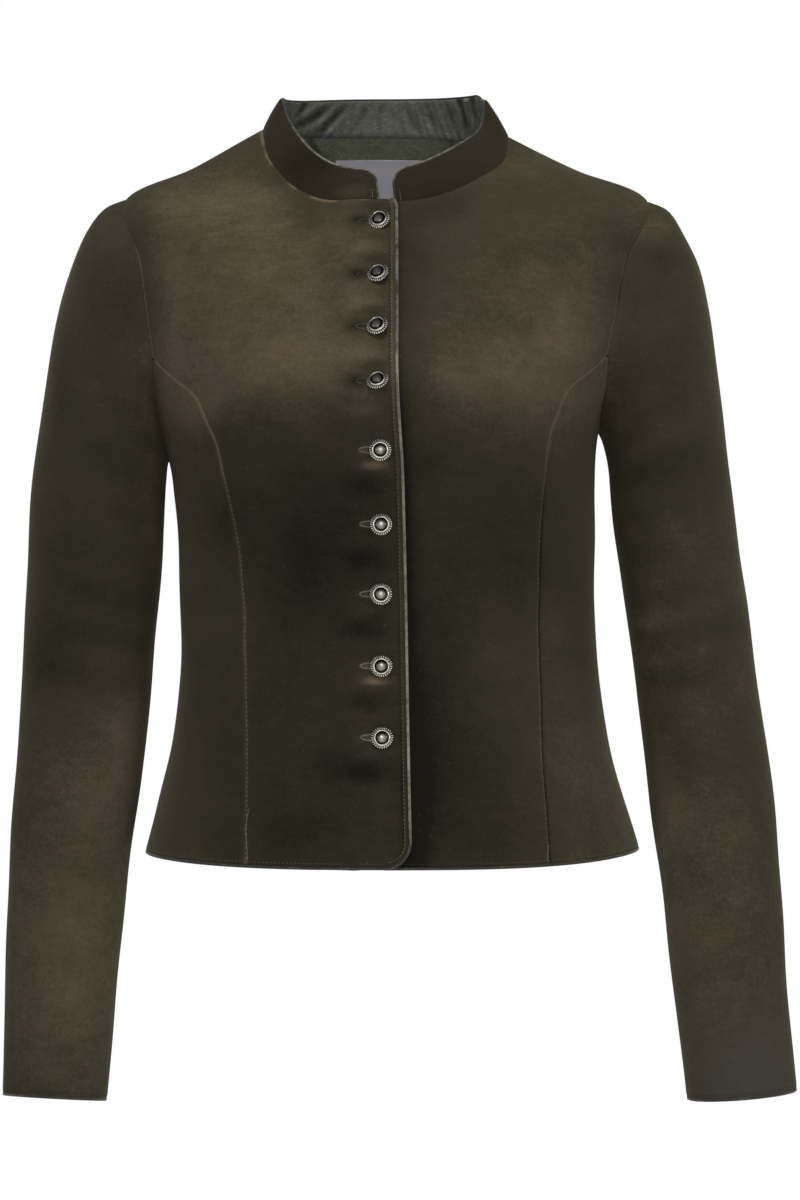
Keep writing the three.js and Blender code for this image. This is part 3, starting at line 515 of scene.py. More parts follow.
def mesh_piece(name, points, faces, materials, uses=None, uv=None, marks=None):
    """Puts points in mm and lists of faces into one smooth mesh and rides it. Uses gives
    each face's material, uv each corner's place on the cloth in metres, and marks each point's value by
    attribute name."""
    mesh = bpy.data.meshes.new(name)
    mesh.from_pydata(points.reshape(-1, 3) * MM, [], [face for part in faces for face in part.tolist()])
    for material in materials:
        mesh.materials.append(material)
    if uses is not None:
        mesh.polygons.foreach_set("material_index", np.asarray(uses, np.int32))
    if uv is not None:
        mesh.uv_layers.new(name="cloth").data.foreach_set("uv", np.asarray(uv, np.float32).ravel())
    for mark, values in (marks or {}).items():
        values = np.asarray(values, np.float32).ravel()
        mesh.attributes.new(mark, "FLOAT", "POINT").data.foreach_set("value", values)
    mesh.polygons.foreach_set("use_smooth", np.ones(len(mesh.polygons), bool))
    mesh.set_sharp_from_angle(angle=SHARP_ANGLE)
    mesh.validate()
    mesh.update()
    piece = bpy.data.objects.new(name, mesh)
    bpy.context.collection.objects.link(piece)
    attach(piece, "root")
    return piece


def wall(name, outer, inner, materials, goes_round=False, marks=None):
    """A closed wall between two grids: the outer face, the inner face turned the other way, and the rim.
    The first material is that of the outer face and rim, the second that of the inner face."""
    rows, columns = outer.shape[:2]
    spans = columns if goes_round else columns - 1
    closing = np.concatenate([outer, outer[:, :1]], 1) if goes_round else outer
    walked = lengths(closing, 1)
    if not goes_round:
        walked = walked - walked[:, columns // 2, None]  # the weave hangs straight down in the middle
    place = np.stack([walked, lengths(closing, 0)], -1) * MM

    def corners(*places):
        """Faces and their uv, from corners given as (row, column, layer)."""
        r, c, layer = (np.stack(np.broadcast_arrays(places[0][0], *part)[1:], -1) for part in zip(*places))
        faces = layer * rows * columns + r * columns + c % columns
        return faces.reshape(-1, 4), place[r, c].reshape(-1, 4, 2)

    r, c = np.mgrid[0 : rows - 1, 0:spans]
    parts = [
        corners((r, c, 0), (r, c + 1, 0), (r + 1, c + 1, 0), (r + 1, c, 0)),
        corners((r, c, 1), (r + 1, c, 1), (r + 1, c + 1, 1), (r, c + 1, 1)),
    ]
    c, low = np.arange(spans), np.zeros(spans, int)
    top = low + rows - 1
    parts.append(corners((low, c, 0), (low, c, 1), (low, c + 1, 1), (low, c + 1, 0)))
    parts.append(corners((top, c, 0), (top, c + 1, 0), (top, c + 1, 1), (top, c, 1)))
    if not goes_round:
        r, first = np.arange(rows - 1), np.zeros(rows - 1, int)
        last = first + spans
        parts.append(corners((r, first, 0), (r + 1, first, 0), (r + 1, first, 1), (r, first, 1)))
        parts.append(corners((r + 1, last, 0), (r, last, 0), (r, last, 1), (r + 1, last, 1)))
    faces, uv = zip(*parts)
    lined = [i == 1 and len(materials) > 1 for i in range(len(parts))]
    uses = np.repeat(lined, [len(part) for part in faces])
    both = {mark: np.stack([values, values]) for mark, values in (marks or {}).items()}
    return mesh_piece(name, np.stack([outer, inner]), faces, materials, uses, np.concatenate(uv), both)


def round_faces(rows, sides):
    """The faces of a grid that goes round, and the two end faces that close it."""
    r, c = np.mgrid[0 : rows - 1, 0:sides]
    here, beside = r * sides + c, r * sides + (c + 1) % sides
    quads = np.stack([here, beside, beside + sides, here + sides], -1)
    return quads.reshape(-1, 4), np.stack([np.arange(sides)[::-1], np.arange(sides) + (rows - 1) * sides])


def tube(name, path, normals, radius, material, painted_shade, sides=10):
    """A round cord along a path: path + radius (cos a normal + sin a binormal), closed by a flat face at each
    end. The last argument gives for each point of the path how much painted shade darkens the cord there."""
    beside = unit(np.cross(np.gradient(path, axis=0), normals))
    angle = np.linspace(0, 2 * np.pi, sides, endpoint=False)[:, None]
    girth = np.reshape(radius, (-1, 1, 1))
    points = path[:, None] + girth * (np.cos(angle) * normals[:, None] + np.sin(angle) * beside[:, None])
    r, c = np.mgrid[0 : len(path) - 1, 0:sides]
    walked = lengths(path, 0)[np.stack([r, r, r + 1, r + 1], -1)] * MM
    uv = np.stack([np.stack([c, c + 1, c + 1, c], -1) / sides, walked], -1)
    uv = np.concatenate([uv.reshape(-1, 2), np.zeros((2 * sides, 2))])
    marks = {"painted_shade": np.repeat(painted_shade, sides)}
    return mesh_piece(name, points, round_faces(len(path), sides), [material], None, uv, marks)


SPINDLE_SIDES = 6


def spindles(name, at, axes, lie, girth, rise, material):
    """A small spindle at each place, round in section. Its lie along the first axis, its girth across the
    second and third, and its rise along the third are given from end to end."""
    angle = np.linspace(0, 2 * np.pi, SPINDLE_SIDES, endpoint=False)
    lie, girth, rise = (np.array(part)[:, None] for part in (lie, girth, rise))
    across, up = girth * np.cos(angle), girth * np.sin(angle) + rise
    shape = np.stack([lie + 0 * angle, across, up], -1).reshape(-1, 3)
    start = len(shape) * np.arange(len(at))[:, None, None]
    faces = [(part + start).reshape(-1, part.shape[1]) for part in round_faces(len(lie), SPINDLE_SIDES)]
    return mesh_piece(name, at[:, None] + shape @ np.stack(axes, 1), faces, [material])


def stitches(name, path, normals, slot, material, pitch, length, thick):
    """A row of stitches along a path on the cloth: one small spindle every pitch, bowed out of the cloth,
    with its ends in it."""
    walked = lengths(path, 0)
    centres = np.arange(pitch / 2, walked[-1] - pitch / 2, pitch)
    at, up = at_distances(path, walked, centres), at_distances(normals, walked, centres)
    way = unit(at_distances(path, walked, centres + 0.5) - at)
    t = np.array([-1, -0.6, 0, 0.6, 1])
    girth = thick * np.array([0.35, 0.9, 1, 0.9, 0.35])
    axes = way, np.cross(up, way), up
    return spindles(name, at, axes, t * length / 2, girth, -0.25 * t**2, material)


# ---------------------------------------------------------------- materials

# A Map Range node's inputs are in the order value, from low, from high, to low, to high.
FIRST, SECOND, MIXED = 6, 7, 2  # the inputs and the output of a Mix node that mixes colours
PATCH = 500  # how many millimetres wide the patches of a noise are, times its scale
RIB_SCALE = 200  # a wave's scale at which its lines are 1.6 mm apart


def finish(name, **constants):
    """A new material, its nodes and its Principled shader, whose even values are set on its own sockets."""
    made = bpy.data.materials.new(name)
    made.use_nodes = True
    shader = made.node_tree.nodes["Principled BSDF"]
    for key, value in constants.items():
        shader.inputs[key.replace("_", " ")].default_value = value
    return made, made.node_tree, shader


def sums(tree, *terms):
    """The sum of outputs, each times its weight."""
    total = 0.0
    for output, weight in terms:
        total = add(tree, "Math", [output, weight, total], operation="MULTIPLY_ADD")
    return total


def velvet(name, darkest, middle, lightest, olive):
    """Cotton velvet with a short cut pile: it takes up light and gives some back at a glancing angle, and
    its nap, brushed this way and that, leaves patches of 20 to 60 mm, smudges and sideways strokes in
    lighter and darker tones, greener in places. The tufts are 0.3 mm apart and are drawn about 1 mm apart,
    so that they show."""
    made, tree, shader = finish(
        name, Roughness=0.9, Specular_IOR_Level=0.12, Sheen_Weight=0.22, Sheen_Roughness=0.5,
        Sheen_Tint=linear("#8d8470"),
    )
    place = add(tree, "TexCoord").outputs["Object"]
    across = add(tree, "Mapping", {"Vector": place, "Scale": (0.3, 1, 1)})
    patches = add(tree, "TexNoise", {
        "Vector": place, "Scale": PATCH / 42, "Detail": 3, "Roughness": 0.55, "Distortion": 0.6,
    })
    smudges = add(tree, "TexNoise", {"Vector": place, "Scale": PATCH / 11, "Detail": 3, "Roughness": 0.6})
    strokes = add(tree, "TexNoise", {
        "Vector": across, "Scale": PATCH / 2.6, "Detail": 2, "Roughness": 0.6, "Distortion": 0.4,
    })
    tufts = add(tree, "TexNoise", {"Vector": place, "Scale": PATCH / 1.1, "Detail": 2, "Roughness": 0.6})
    green = add(tree, "TexNoise", {"Vector": place, "Scale": PATCH / 26, "Detail": 3, "Roughness": 0.6})
    # the attribute holds the nap together with painted light and shade: painted highlights where the cloth
    # faces up, on seams and edges, and painted shade under the bust, beside the lap and round the buttons
    nap_and_painted_shading = add(tree, "Attribute", attribute_name="nap_and_painted_shading").outputs["Fac"]
    greyed = add(tree, "Attribute", attribute_name="greyed").outputs["Fac"]
    tone = sums(tree, (nap_and_painted_shading, 0.5), (patches, 0.2), (smudges, 0.17), (strokes, 0.17), (tufts, 0.26))
    ramp = add(tree, "ValToRGB", [add(tree, "Math", [tone, 0.08], operation="ADD")])
    stops = ramp.color_ramp.elements
    stops[0].position, stops[0].color = 0.0, linear(darkest)
    stops[1].position, stops[1].color = 1.0, linear(lightest)
    stops.new(0.5).color = linear(middle)
    tint = add(tree, "MapRange", [green, 0.4, 0.62, 0, 0.36])
    colours = {0: tint, FIRST: ramp, SECOND: linear(olive)}
    greener = add(tree, "Mix", colours, data_type="RGBA", blend_type="MULTIPLY").outputs[MIXED]
    colours = {0: greyed, FIRST: greener, SECOND: linear("#3b3835")}
    dusty = add(tree, "Mix", colours, data_type="RGBA").outputs[MIXED]
    # lint: faint specks about 0.7 mm across
    specks = add(tree, "TexVoronoi", {"Vector": place, "Scale": 1000 / 7}).outputs["Distance"]
    lint = add(tree, "MapRange", [specks, 0.03, 0.06, 0.2, 0])
    colours = {0: lint, FIRST: dusty, SECOND: linear("#8d8675")}
    colour = add(tree, "Mix", colours, data_type="RGBA").outputs[MIXED]
    pile = sums(tree, (tufts, 0.7), (smudges, 0.5))
    relief = add(tree, "Bump", {"Height": pile, "Strength": 0.35, "Distance": 0.0006})
    feed(tree, shader, {"Base Color": colour, "Normal": relief})
    return made


def jacquard(name, ground, figure):
    """Viscose lining satin with a small tone-on-tone figure woven in: fine winding veins that catch the light
    differently from the ground, with painted shade in the depth of a crease."""
    made, tree, shader = finish(name, Roughness=0.55, Specular_IOR_Level=0.25, Sheen_Weight=0.15)
    cloth = add(tree, "UVMap", uv_map="cloth")
    veins = add(tree, "TexNoise", {
        "Vector": cloth, "Scale": PATCH / 5, "Detail": 3, "Roughness": 0.6, "Distortion": 1.0,
    })
    cloud = add(tree, "TexNoise", {"Vector": cloth, "Scale": PATCH / 16, "Detail": 3, "Roughness": 0.6})
    crinkle = add(tree, "TexNoise", {
        "Vector": cloth, "Scale": PATCH / 4, "Detail": 4, "Roughness": 0.6, "Distortion": 0.5,
    })
    winding = add(tree, "Math", [veins, 0.5], operation="SUBTRACT")
    leaf = add(tree, "MapRange", [add(tree, "Math", [winding], operation="ABSOLUTE"), 0.008, 0.035])
    share = add(tree, "MapRange", [sums(tree, (leaf, 0.5), (cloud, 0.9)), 0.3, 1.15])
    colours = {0: share, FIRST: linear(figure), SECOND: linear(ground)}
    colour = add(tree, "Mix", colours, data_type="RGBA").outputs[MIXED]
    # painted shade: the attribute darkens the satin in its creases, along seams and where it lies in shadow
    painted_crease_shade = add(tree, "Attribute", attribute_name="painted_crease_shade").outputs["Fac"]
    colours = {0: painted_crease_shade, FIRST: colour, SECOND: linear("#14150f")}
    shaded = add(tree, "Mix", colours, data_type="RGBA").outputs[MIXED]
    gloss = add(tree, "MapRange", [leaf, 0, 1, 0.66, 0.5])
    weave = sums(tree, (leaf, 0.3), (crinkle, 1.0))
    relief = add(tree, "Bump", {"Height": weave, "Strength": 0.6, "Distance": 0.0008})
    feed(tree, shader, {"Base Color": shaded, "Roughness": gloss, "Normal": relief})
    return made


def piping_satin(name, light, worn_and_shaded):
    """Satin cut on the bias and folded round a cord: smooth and shiny, with the fine slanting lines of its
    weave, 0.25 mm apart and drawn 0.7 mm apart to show, duller in patches of wear, and darker where painted
    shade is given on the cord."""
    made, tree, shader = finish(name, Roughness=0.6, Specular_IOR_Level=0.3, Sheen_Weight=0.2)
    cloth = add(tree, "UVMap", uv_map="cloth")
    slant = add(tree, "Mapping", {"Vector": cloth, "Rotation": (0, 0, 0.004), "Scale": (4, 1, 1)})
    place = add(tree, "TexCoord").outputs["Object"]
    cloud = add(tree, "TexNoise", {"Vector": place, "Scale": PATCH / 14, "Detail": 3, "Roughness": 0.6})
    grain = add(tree, "TexNoise", {"Vector": place, "Scale": PATCH / 1.6, "Detail": 2, "Roughness": 0.7})
    wear = add(tree, "MapRange", [sums(tree, (cloud, 0.45), (grain, 0.55)), 0.4, 0.62, 0, 0.75])
    # painted shade on the piping, added to its patches of wear
    painted_shade = add(tree, "Attribute", attribute_name="painted_shade").outputs["Fac"]
    wear_and_painted_shade = add(tree, "Math", [wear, painted_shade], operation="ADD", use_clamp=True)
    colours = {0: wear_and_painted_shade, FIRST: linear(light), SECOND: linear(worn_and_shaded)}
    colour = add(tree, "Mix", colours, data_type="RGBA").outputs[MIXED]
    lines = {"Vector": slant, "Scale": RIB_SCALE, "Distortion": 1.0}
    ribs = add(tree, "TexWave", lines, bands_direction="Y").outputs["Fac"]
    relief = add(tree, "Bump", {"Height": ribs, "Strength": 0.25, "Distance": 0.0002})
    feed(tree, shader, {"Base Color": colour, "Normal": relief})
    return made


def thread(name, code):
    """Spun polyester sewing thread: soft, a little shiny."""
    made, tree, shader = finish(name, Roughness=0.6, Specular_IOR_Level=0.4, Sheen_Weight=0.3)
    place = add(tree, "TexCoord").outputs["Object"]
    twist = add(tree, "TexNoise", {"Vector": place, "Scale": PATCH / 0.8, "Detail": 1, "Roughness": 0.5})
    colours = {0: twist, FIRST: linear(code), SECOND: linear("#2b271e")}
    feed(tree, shader, {"Base Color": add(tree, "Mix", colours, data_type="RGBA").outputs[MIXED]})
    return made


def label_satin(name, code, shade):
    """Bare woven label satin: pale, close, with a fine rib across, 0.4 mm apart and drawn 1.6 mm apart to
    show."""
    made, tree, shader = finish(name, Roughness=0.45, Specular_IOR_Level=0.4, Sheen_Weight=0.2)
    cloth = add(tree, "UVMap", uv_map="cloth")
    cloud = add(tree, "TexNoise", {"Vector": cloth, "Scale": PATCH / 14, "Detail": 2, "Roughness": 0.5})
    colours = {0: cloud, FIRST: linear(code), SECOND: linear(shade)}
    colour = add(tree, "Mix", colours, data_type="RGBA").outputs[MIXED]
    lines = {"Vector": cloth, "Scale": RIB_SCALE, "Distortion": 0.5}
    ribs = add(tree, "TexWave", lines, bands_direction="Y").outputs["Fac"]
    relief = add(tree, "Bump", {"Height": ribs, "Strength": 0.2, "Distance": 0.0001})
    feed(tree, shader, {"Base Color": colour, "Normal": relief})
    return made


def antique_silver(name, recess, crest):
    """Cast zinc plated with silver and blackened, then rubbed bright where it stands out: bright crests, dark
    recesses, and small scratches in its gloss. The dome's bright crown and dark foot are partly this rubbing
    and partly a painted reflection."""
    made, tree, shader = finish(name, Metallic=1.0, Roughness=0.3)
    place = add(tree, "TexCoord").outputs["Object"]
    cloud = add(tree, "TexNoise", {"Vector": place, "Scale": PATCH / 2.5, "Detail": 3, "Roughness": 0.6})
    rubbed_and_painted_reflection = add(tree, "Attribute", attribute_name="rubbed_and_painted_reflection").outputs["Fac"]
    shine = add(tree, "MapRange", [sums(tree, (rubbed_and_painted_reflection, 1.0), (cloud, 0.3)), 0.2, 1.15])
    colours = {0: shine, FIRST: linear(recess), SECOND: linear(crest)}
    colour = add(tree, "Mix", colours, data_type="RGBA").outputs[MIXED]
    gloss = add(tree, "MapRange", [cloud, 0, 1, 0.28, 0.48])
    feed(tree, shader, {"Base Color": colour, "Roughness": gloss})
    return made


VELVET = velvet("dark olive cotton velvet", "#0e0d08", "#2f2b20", "#5a4f40", "#e2ead4")
COLLAR_VELVET = velvet("collar velvet", "#100e0a", "#211d15", "#3a3227", "#eceed8")
SATIN = jacquard("grey green jacquard lining", "#484b3f", "#676a5e")
# a copy of the lining painted lighter, as painted light inside the neck, where the lamps leave it in shade
LIGHTENED_NECK_SATIN = jacquard("grey green jacquard painted lighter inside the neck", "#5c5f4f", "#7d806d")
PIPING = piping_satin("grey green piping satin", "#757162", "#24221a")
TOPSTITCH = thread("olive sewing thread", "#645d4b")
SEAM_THREAD = thread("light sewing thread", "#756d5a")
HOLE_THREAD = thread("buttonhole thread", "#75766a")
# the upper buttonholes' thread, painted dark as painted shade in the dips of the chest
SHADED_HOLE_THREAD = thread("buttonhole thread painted in shade", "#211f18")
LABEL = label_satin("bare label satin", "#d2cfd6", "#bdb9c2")
SILVER = antique_silver("antique silver", "#1a190f", "#e4e1d6")

FLOOR = finish("plain pale floor", Roughness=0.8, Base_Color=linear("#eceae6"))[0]
FLOOR_Z, FLOOR_HALF = -1.42, 2.9
floor_mesh = bpy.data.meshes.new("floor")
corners = np.array([[-1, -1, 0], [1, -1, 0], [1, 1, 0], [-1, 1, 0]]) * FLOOR_HALF + [0, 0, FLOOR_Z]
floor_mesh.from_pydata(corners, [], [[0, 1, 2, 3]])
floor_mesh.materials.append(FLOOR)
floor = bpy.data.objects.new("floor", floor_mesh)
bpy.context.collection.objects.link(floor)

# ---------------------------------------------------------------- the nap, and painted light and shade

# Where the cloth is painted lighter (above 0) or darker, as the front (face 1) or the back shows it: partly
# the pile brushed this way and that, and partly painted light and shade, such as a painted highlight where
# the cloth faces up and painted shade under the bust. Centre, half width and half height of each soft patch.
NAP_AND_PAINTED_SHADING = table("face x z width height amount", [
    # the chest, with a painted highlight where it faces up, and painted shade at the foot of the collar
    [1, -95, -110, 75, 60, 0.3], [1, -75, -177, 80, 34, 0.36], [1, -115, -48, 50, 18, 0.3],
    [1, -75, -152, 35, 20, -0.1], [1, -160, -90, 20, 40, 0.2], [1, -135, -202, 20, 18, 0.35],
    [1, -59, -63, 18, 18, -0.25], [1, -160, -180, 22, 45, 0.32], [1, -62, -26, 24, 18, -0.6],
    [1, 12, -110, 20, 62, -0.42], [1, -27, -47, 13, 5, 0.5], [1, -47, -16, 14, 10, -0.4],
    [1, 105, -189, 62, 38, 0.47], [1, 50, -182, 30, 30, 0.15], [1, 40, -55, 25, 16, -0.3],
    [1, 135, -140, 22, 22, 0.2], [1, 115, -160, 40, 12, 0.15], [1, 120, -115, 50, 35, 0.16],
    # painted shade under the bust
    [1, -45, -274, 58, 40, -0.5], [1, 34, -242, 14, 14, -0.3], [1, -118, -282, 22, 25, -0.4],
    [1, -62, -322, 34, 40, -0.4], [1, 95, -322, 25, 20, -0.25], [1, 85, -292, 55, 45, -0.38],
    # waist and skirt
    [1, -25, -340, 30, 50, -0.2], [1, 45, -350, 40, 50, -0.35], [1, -62, -400, 55, 85, -0.38],
    [1, -60, -505, 62, 45, -0.5], [1, -115, -445, 32, 50, -0.25], [1, -34, -458, 26, 14, -0.25],
    [1, 148, -378, 20, 40, -0.35], [1, 132, -470, 22, 60, 0.2], [1, 66, -385, 16, 60, 0.22],
    [1, 60, -514, 42, 14, -0.12], [1, -100, -514, 50, 14, -0.12], [1, 45, -455, 42, 85, -0.62],
    [1, 100, -500, 40, 40, -0.2],
    # in the shade of the lap
    [1, 22, -470, 14, 90, -0.4],
    # the right sleeve
    [1, -195, -120, 30, 50, -0.45], [1, -225, -325, 35, 65, -0.45], [1, -252, -385, 22, 24, -0.5],
    [1, -170, -290, 14, 50, 0.35], [1, -205, -490, 38, 66, 0.34], [1, -190, -447, 15, 42, 0.3],
    [1, -232, -600, 50, 66, 0.4], [1, -240, -190, 12, 45, -0.25],
    # the left sleeve
    [1, 172, -175, 14, 30, -0.25], [1, 203, -190, 18, 40, -0.25], [1, 207, -500, 14, 22, 0.3],
    [1, 196, -92, 24, 15, -0.38], [1, 190, -70, 25, 10, 0.2], [1, 205, -118, 40, 20, -0.15],
    [1, 210, -250, 60, 22, -0.33], [1, 188, -490, 18, 64, 0.27], [1, 188, -350, 16, 36, 0.2],
    [1, 228, -570, 60, 90, 0.27],
    # the back
    [-1, 0, -120, 120, 70, 0.35], [-1, 60, -300, 80, 80, -0.35], [-1, -70, -380, 90, 60, -0.3],
    [-1, 0, -500, 130, 40, -0.2], [-1, 205, -250, 50, 40, -0.3], [-1, -215, -320, 40, 60, -0.35],
    [-1, 240, -560, 60, 90, 0.3], [-1, -230, -560, 60, 90, 0.35],
])


def nap_and_shading_of(points, normals):
    """How light the cloth is painted, by its nap and by painted light and shade: the sum of the patches, each
    a hill that fades where the cloth turns away.
    """
    total = np.zeros(points.shape[:-1])
    for face, x, z, width, height, amount in zip(*NAP_AND_PAINTED_SHADING.values()):
        turned = smooth(-face * normals[..., 1], -0.2, 0.5)
        total += amount * bump(points[..., 0], points[..., 2], x, z, width, height) * turned
    return total


def lap_shade(points):
    """The dark strip of the left front beside the lap: e to the minus distance from the right front's edge,
    deeper and wider below the chest."""
    off = points[..., 0] - read_at_height(FRONT_EDGE, "x", points[..., 2]) - 1.5
    low = smooth(-points[..., 2], 110, 230)
    return -(0.45 + 0.6 * low) * np.exp(-np.clip(off, 0, None) / (2.5 + 3.6 * low)) * (off > -8)


LOWER_BUTTONS = -200  # the lower ones are below this height


def button_shade(points):
    """Painted light and shade on the pile round the buttons: painted shade where the cloth dips at the end of
    each upper buttonhole and above its button, painted shade between the lower buttons, and a painted
    highlight on the short fold under those that pull hardest."""
    x, z = points[..., 0], points[..., 2]
    total = np.zeros(x.shape)
    for height, pull in zip(BUTTONS["z"], BUTTONS["pull"]):
        centre = read_at_height(FRONT_EDGE, "buttonX", height)
        if height > LOWER_BUTTONS:
            total -= 1.0 * bump(x, z, centre - 15, height + 0.5, 7, 3.8)
            total -= 0.45 * bump(x, z, centre - 3, height + 11, 9, 4)
            total += 0.25 * bump(x, z, centre - 10, height - 20, 16, 7)
        else:
            total += 1.0 * bump(x, z, centre - 11.5, height, 4.5, 2.4)
            total += 2.9 * np.clip(pull - 0.75, 0, 1) * bump(x, z, centre - 4, height - 10.8, 10, 3.4)
            total -= 0.5 * bump(x, z, centre - 10, height - 25, 17, 8)
    return total


def rolled_edge_light_and_shade(points):
    """A painted highlight on the roll of velvet between the front edge's piping and its topstitching, 2.2 mm
    in from the edge, and painted shade along the line of the stitching 4 mm in."""
    off = distance_from(points, "last")
    return 0.4 * ridge(off, 2.2, 1.1) - 0.3 * ridge(off, 4.0, 0.8)


def neck_light(points):
    """A painted highlight in places along the neck seam: an uneven ridge 1.4 mm below the edge."""
    along = lengths(points, 1)[-1:]
    strength = np.clip(0.4 + np.sin(along / 5) + np.sin(along / 12.5), 0, 1)
    return 0.8 * ridge(distance_from(points, "top"), 1.4, 1.1) * strength


def seam_light(points, which, low, high):
    """A painted highlight, or painted shade where the amount is below 0, along the pressed line of a seam,
    1.6 mm wide: an amount below the underarm and another above the bust.
    """
    amount = low + (high - low) * smooth(points[..., 2], -300, -215)
    return amount * ridge(distance_from(points, which), 0, 1.6) * (points[..., 2] < -66)


# How much painted highlight (above 0) or painted shade lies along the seams of each panel: which column,
# below the underarm and above the bust.
SEAM_LIGHT = {
    "front_right": [("first", 0.5, 1.0)],
    "front_left": [("last", 0.2, 0.5)],
    "side_front_right": [("last", 0.5, 0.7), ("first", 0, 0.5)],
    "side_front_left": [("first", -0.8, 0.4), ("last", 0, 0.5)],
    "side_back_right": [("first", 0.5, 0.9)],
    "side_back_left": [("last", 0.5, 0.9)],
    "back_centre": [("first", 0.4, 0.8), ("last", 0.4, 0.8)],
}

# ---------------------------------------------------------------- the bodice's panels


def even_levels(rows_between):
    """Levels spaced evenly between each ring and the next, given how many rows each gap has."""
    return np.concatenate([np.linspace(i, i + 1, n, endpoint=False) for i, n in enumerate(rows_between)])


# Levels of the rows: about every 3 mm, closer at the lower corners and at both ends of the armhole.
ROWS_BETWEEN = [13, 15, 17, 17, 15, 13, 12, 10, 10, 10, 12, 14, 18, 18]
EXTRA_LEVELS = [0.012, 0.035, 0.07, 0.115, 0.17, 7.01, 7.03, 7.06, 11.97, 11.99, 13.975, 13.99]
LEVELS = np.union1d(np.append(even_levels(ROWS_BETWEEN), NECK).round(6), EXTRA_LEVELS)
SIDE_FRONT_TOP, SIDE_BACK_TOP = 8.97, 9.97  # levels just below where their seams meet in the armhole
EDGE_SHARES = np.array([0.004, 0.009, 0.014, 0.019, 0.025, 0.031, 0.038])


def column_shares(steps):
    """Shares of the way from seam to seam: even, with closer columns where the edges turn in."""
    return np.union1d(np.linspace(0, 1, steps + 1), [*EDGE_SHARES, *(1 - EDGE_SHARES)])


def panel(start, stop, steps, top=NECK, lifted=False):
    """A panel of the bodice as a grid from one seam to the next, the right front raised where it laps over
    the left one."""
    levels = LEVELS[LEVELS <= top]
    first = turn_plus(start(levels), levels, SHOWN_GAP / 2)
    last = turn_plus(stop(levels), levels, -SHOWN_GAP / 2)
    points = bodice(first[:, None] + (last - first)[:, None] * column_shares(steps), levels[:, None])
    if lifted:
        points = points + facing(points) * OVERLAP_LIFT * smooth(points[..., :1], LIFT_FROM, LIFT_TO)
    return points


def on(side, seam):
    """A seam's turn on one side, as a function of the level."""
    return lambda level: seam(level, side)


def round_the_back(seam):
    """A seam's turn on the right side, counted on past the back."""
    return lambda level: 360 + seam(level, RIGHT)


PANELS = {
    "front_right": panel(on(RIGHT, princess_front), right_edge, 64, lifted=True),
    "front_left": panel(left_edge, on(LEFT, princess_front), 84),
    "side_front_right": panel(on(RIGHT, armhole_front), on(RIGHT, princess_front), 22, SIDE_FRONT_TOP),
    "side_front_left": panel(on(LEFT, princess_front), on(LEFT, armhole_front), 22, SIDE_FRONT_TOP),
    "side_back_right": panel(round_the_back(princess_back), round_the_back(armhole_back), 30, SIDE_BACK_TOP),
    "side_back_left": panel(on(LEFT, armhole_back), on(LEFT, princess_back), 30, SIDE_BACK_TOP),
    "back_centre": panel(on(LEFT, princess_back), round_the_back(princess_back), 76),
}
# How deep each panel's first column, last column, lower and upper edge turn in.
TURN_IN = {name: (0.15, 0.15, 0.4, 0) for name in PANELS} | {
    "front_right": (0.15, 0.4, 0.4, 0),
    "side_back_right": (0.35, 0.15, 0.4, 0),
    "side_back_left": (0.15, 0.35, 0.4, 0),
    "back_centre": (0.35, 0.35, 0.4, 0),
}

cloth, uncut = {}, {}  # faces with their edges turned in, and before that, each with its normals
for name, grid in PANELS.items():
    normals = facing(grid)
    out = uneven(grid) - creased(grid, normals, CREASES)
    if name == "front_right":
        out = out + button_pulls(grid)
    flat = grid + normals * out[..., None]
    outer = turned_in(flat, normals, TURN_IN[name])
    cloth[name], uncut[name] = (outer, normals), (flat, normals)
    # the panel's nap, with painted light and shade added along its seams, on the front's rolled edge and neck
    # seam, round the buttons and in the lap's shadow
    nap_and_painted_shading = nap_and_shading_of(outer, normals)
    for which, low, high in SEAM_LIGHT[name]:
        nap_and_painted_shading += seam_light(outer, which, low, high)
    if name == "front_right":
        nap_and_painted_shading += rolled_edge_light_and_shade(outer) + button_shade(outer) + neck_light(outer)
    if name == "front_left":
        nap_and_painted_shading += lap_shade(outer)
    inner = outer - normals * CLOTH
    piece = wall(name + "_velvet", outer, inner, [VELVET, SATIN], marks={"nap_and_painted_shading": nap_and_painted_shading})
    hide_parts(name)

# ---------------------------------------------------------------- the sleeves

ARMHOLE_POINTS = 90  # up each half of it


def armhole_loop(side):
    """The armhole from the underarm up the front, over the shoulder point and down the back: its points,
    moved out across the seam by the gap, and the height's angle from -90° at the bottom through 90° at the
    top."""
    level = UNDERARM + (SHOULDER_POINT - UNDERARM) * (1 - np.cos(np.linspace(0, np.pi, ARMHOLE_POINTS))) / 2
    front = np.stack([armhole_front(level, side), level])
    back = np.stack([armhole_back(level, side), level])[:, -2:0:-1]
    turn, level = np.concatenate([front, back], 1)
    loop = bodice(turn, level)
    up = bodice(turn, level + LEVEL_STEP) - bodice(turn, level - LEVEL_STEP)
    along = np.roll(loop, -1, 0) - np.roll(loop, 1, 0)
    off = np.cross(along, np.cross(along_ring(turn, level), up))
    loop = loop + side * SHOWN_GAP * unit(off)
    z = loop[:, 2]
    angle = np.arcsin(np.clip(2 * (z - z.min()) / (z.max() - z.min()) - 1, -1, 1))
    top = z.argmax()
    angle[top + 1 :] = np.pi - angle[top + 1 :]
    return loop, angle


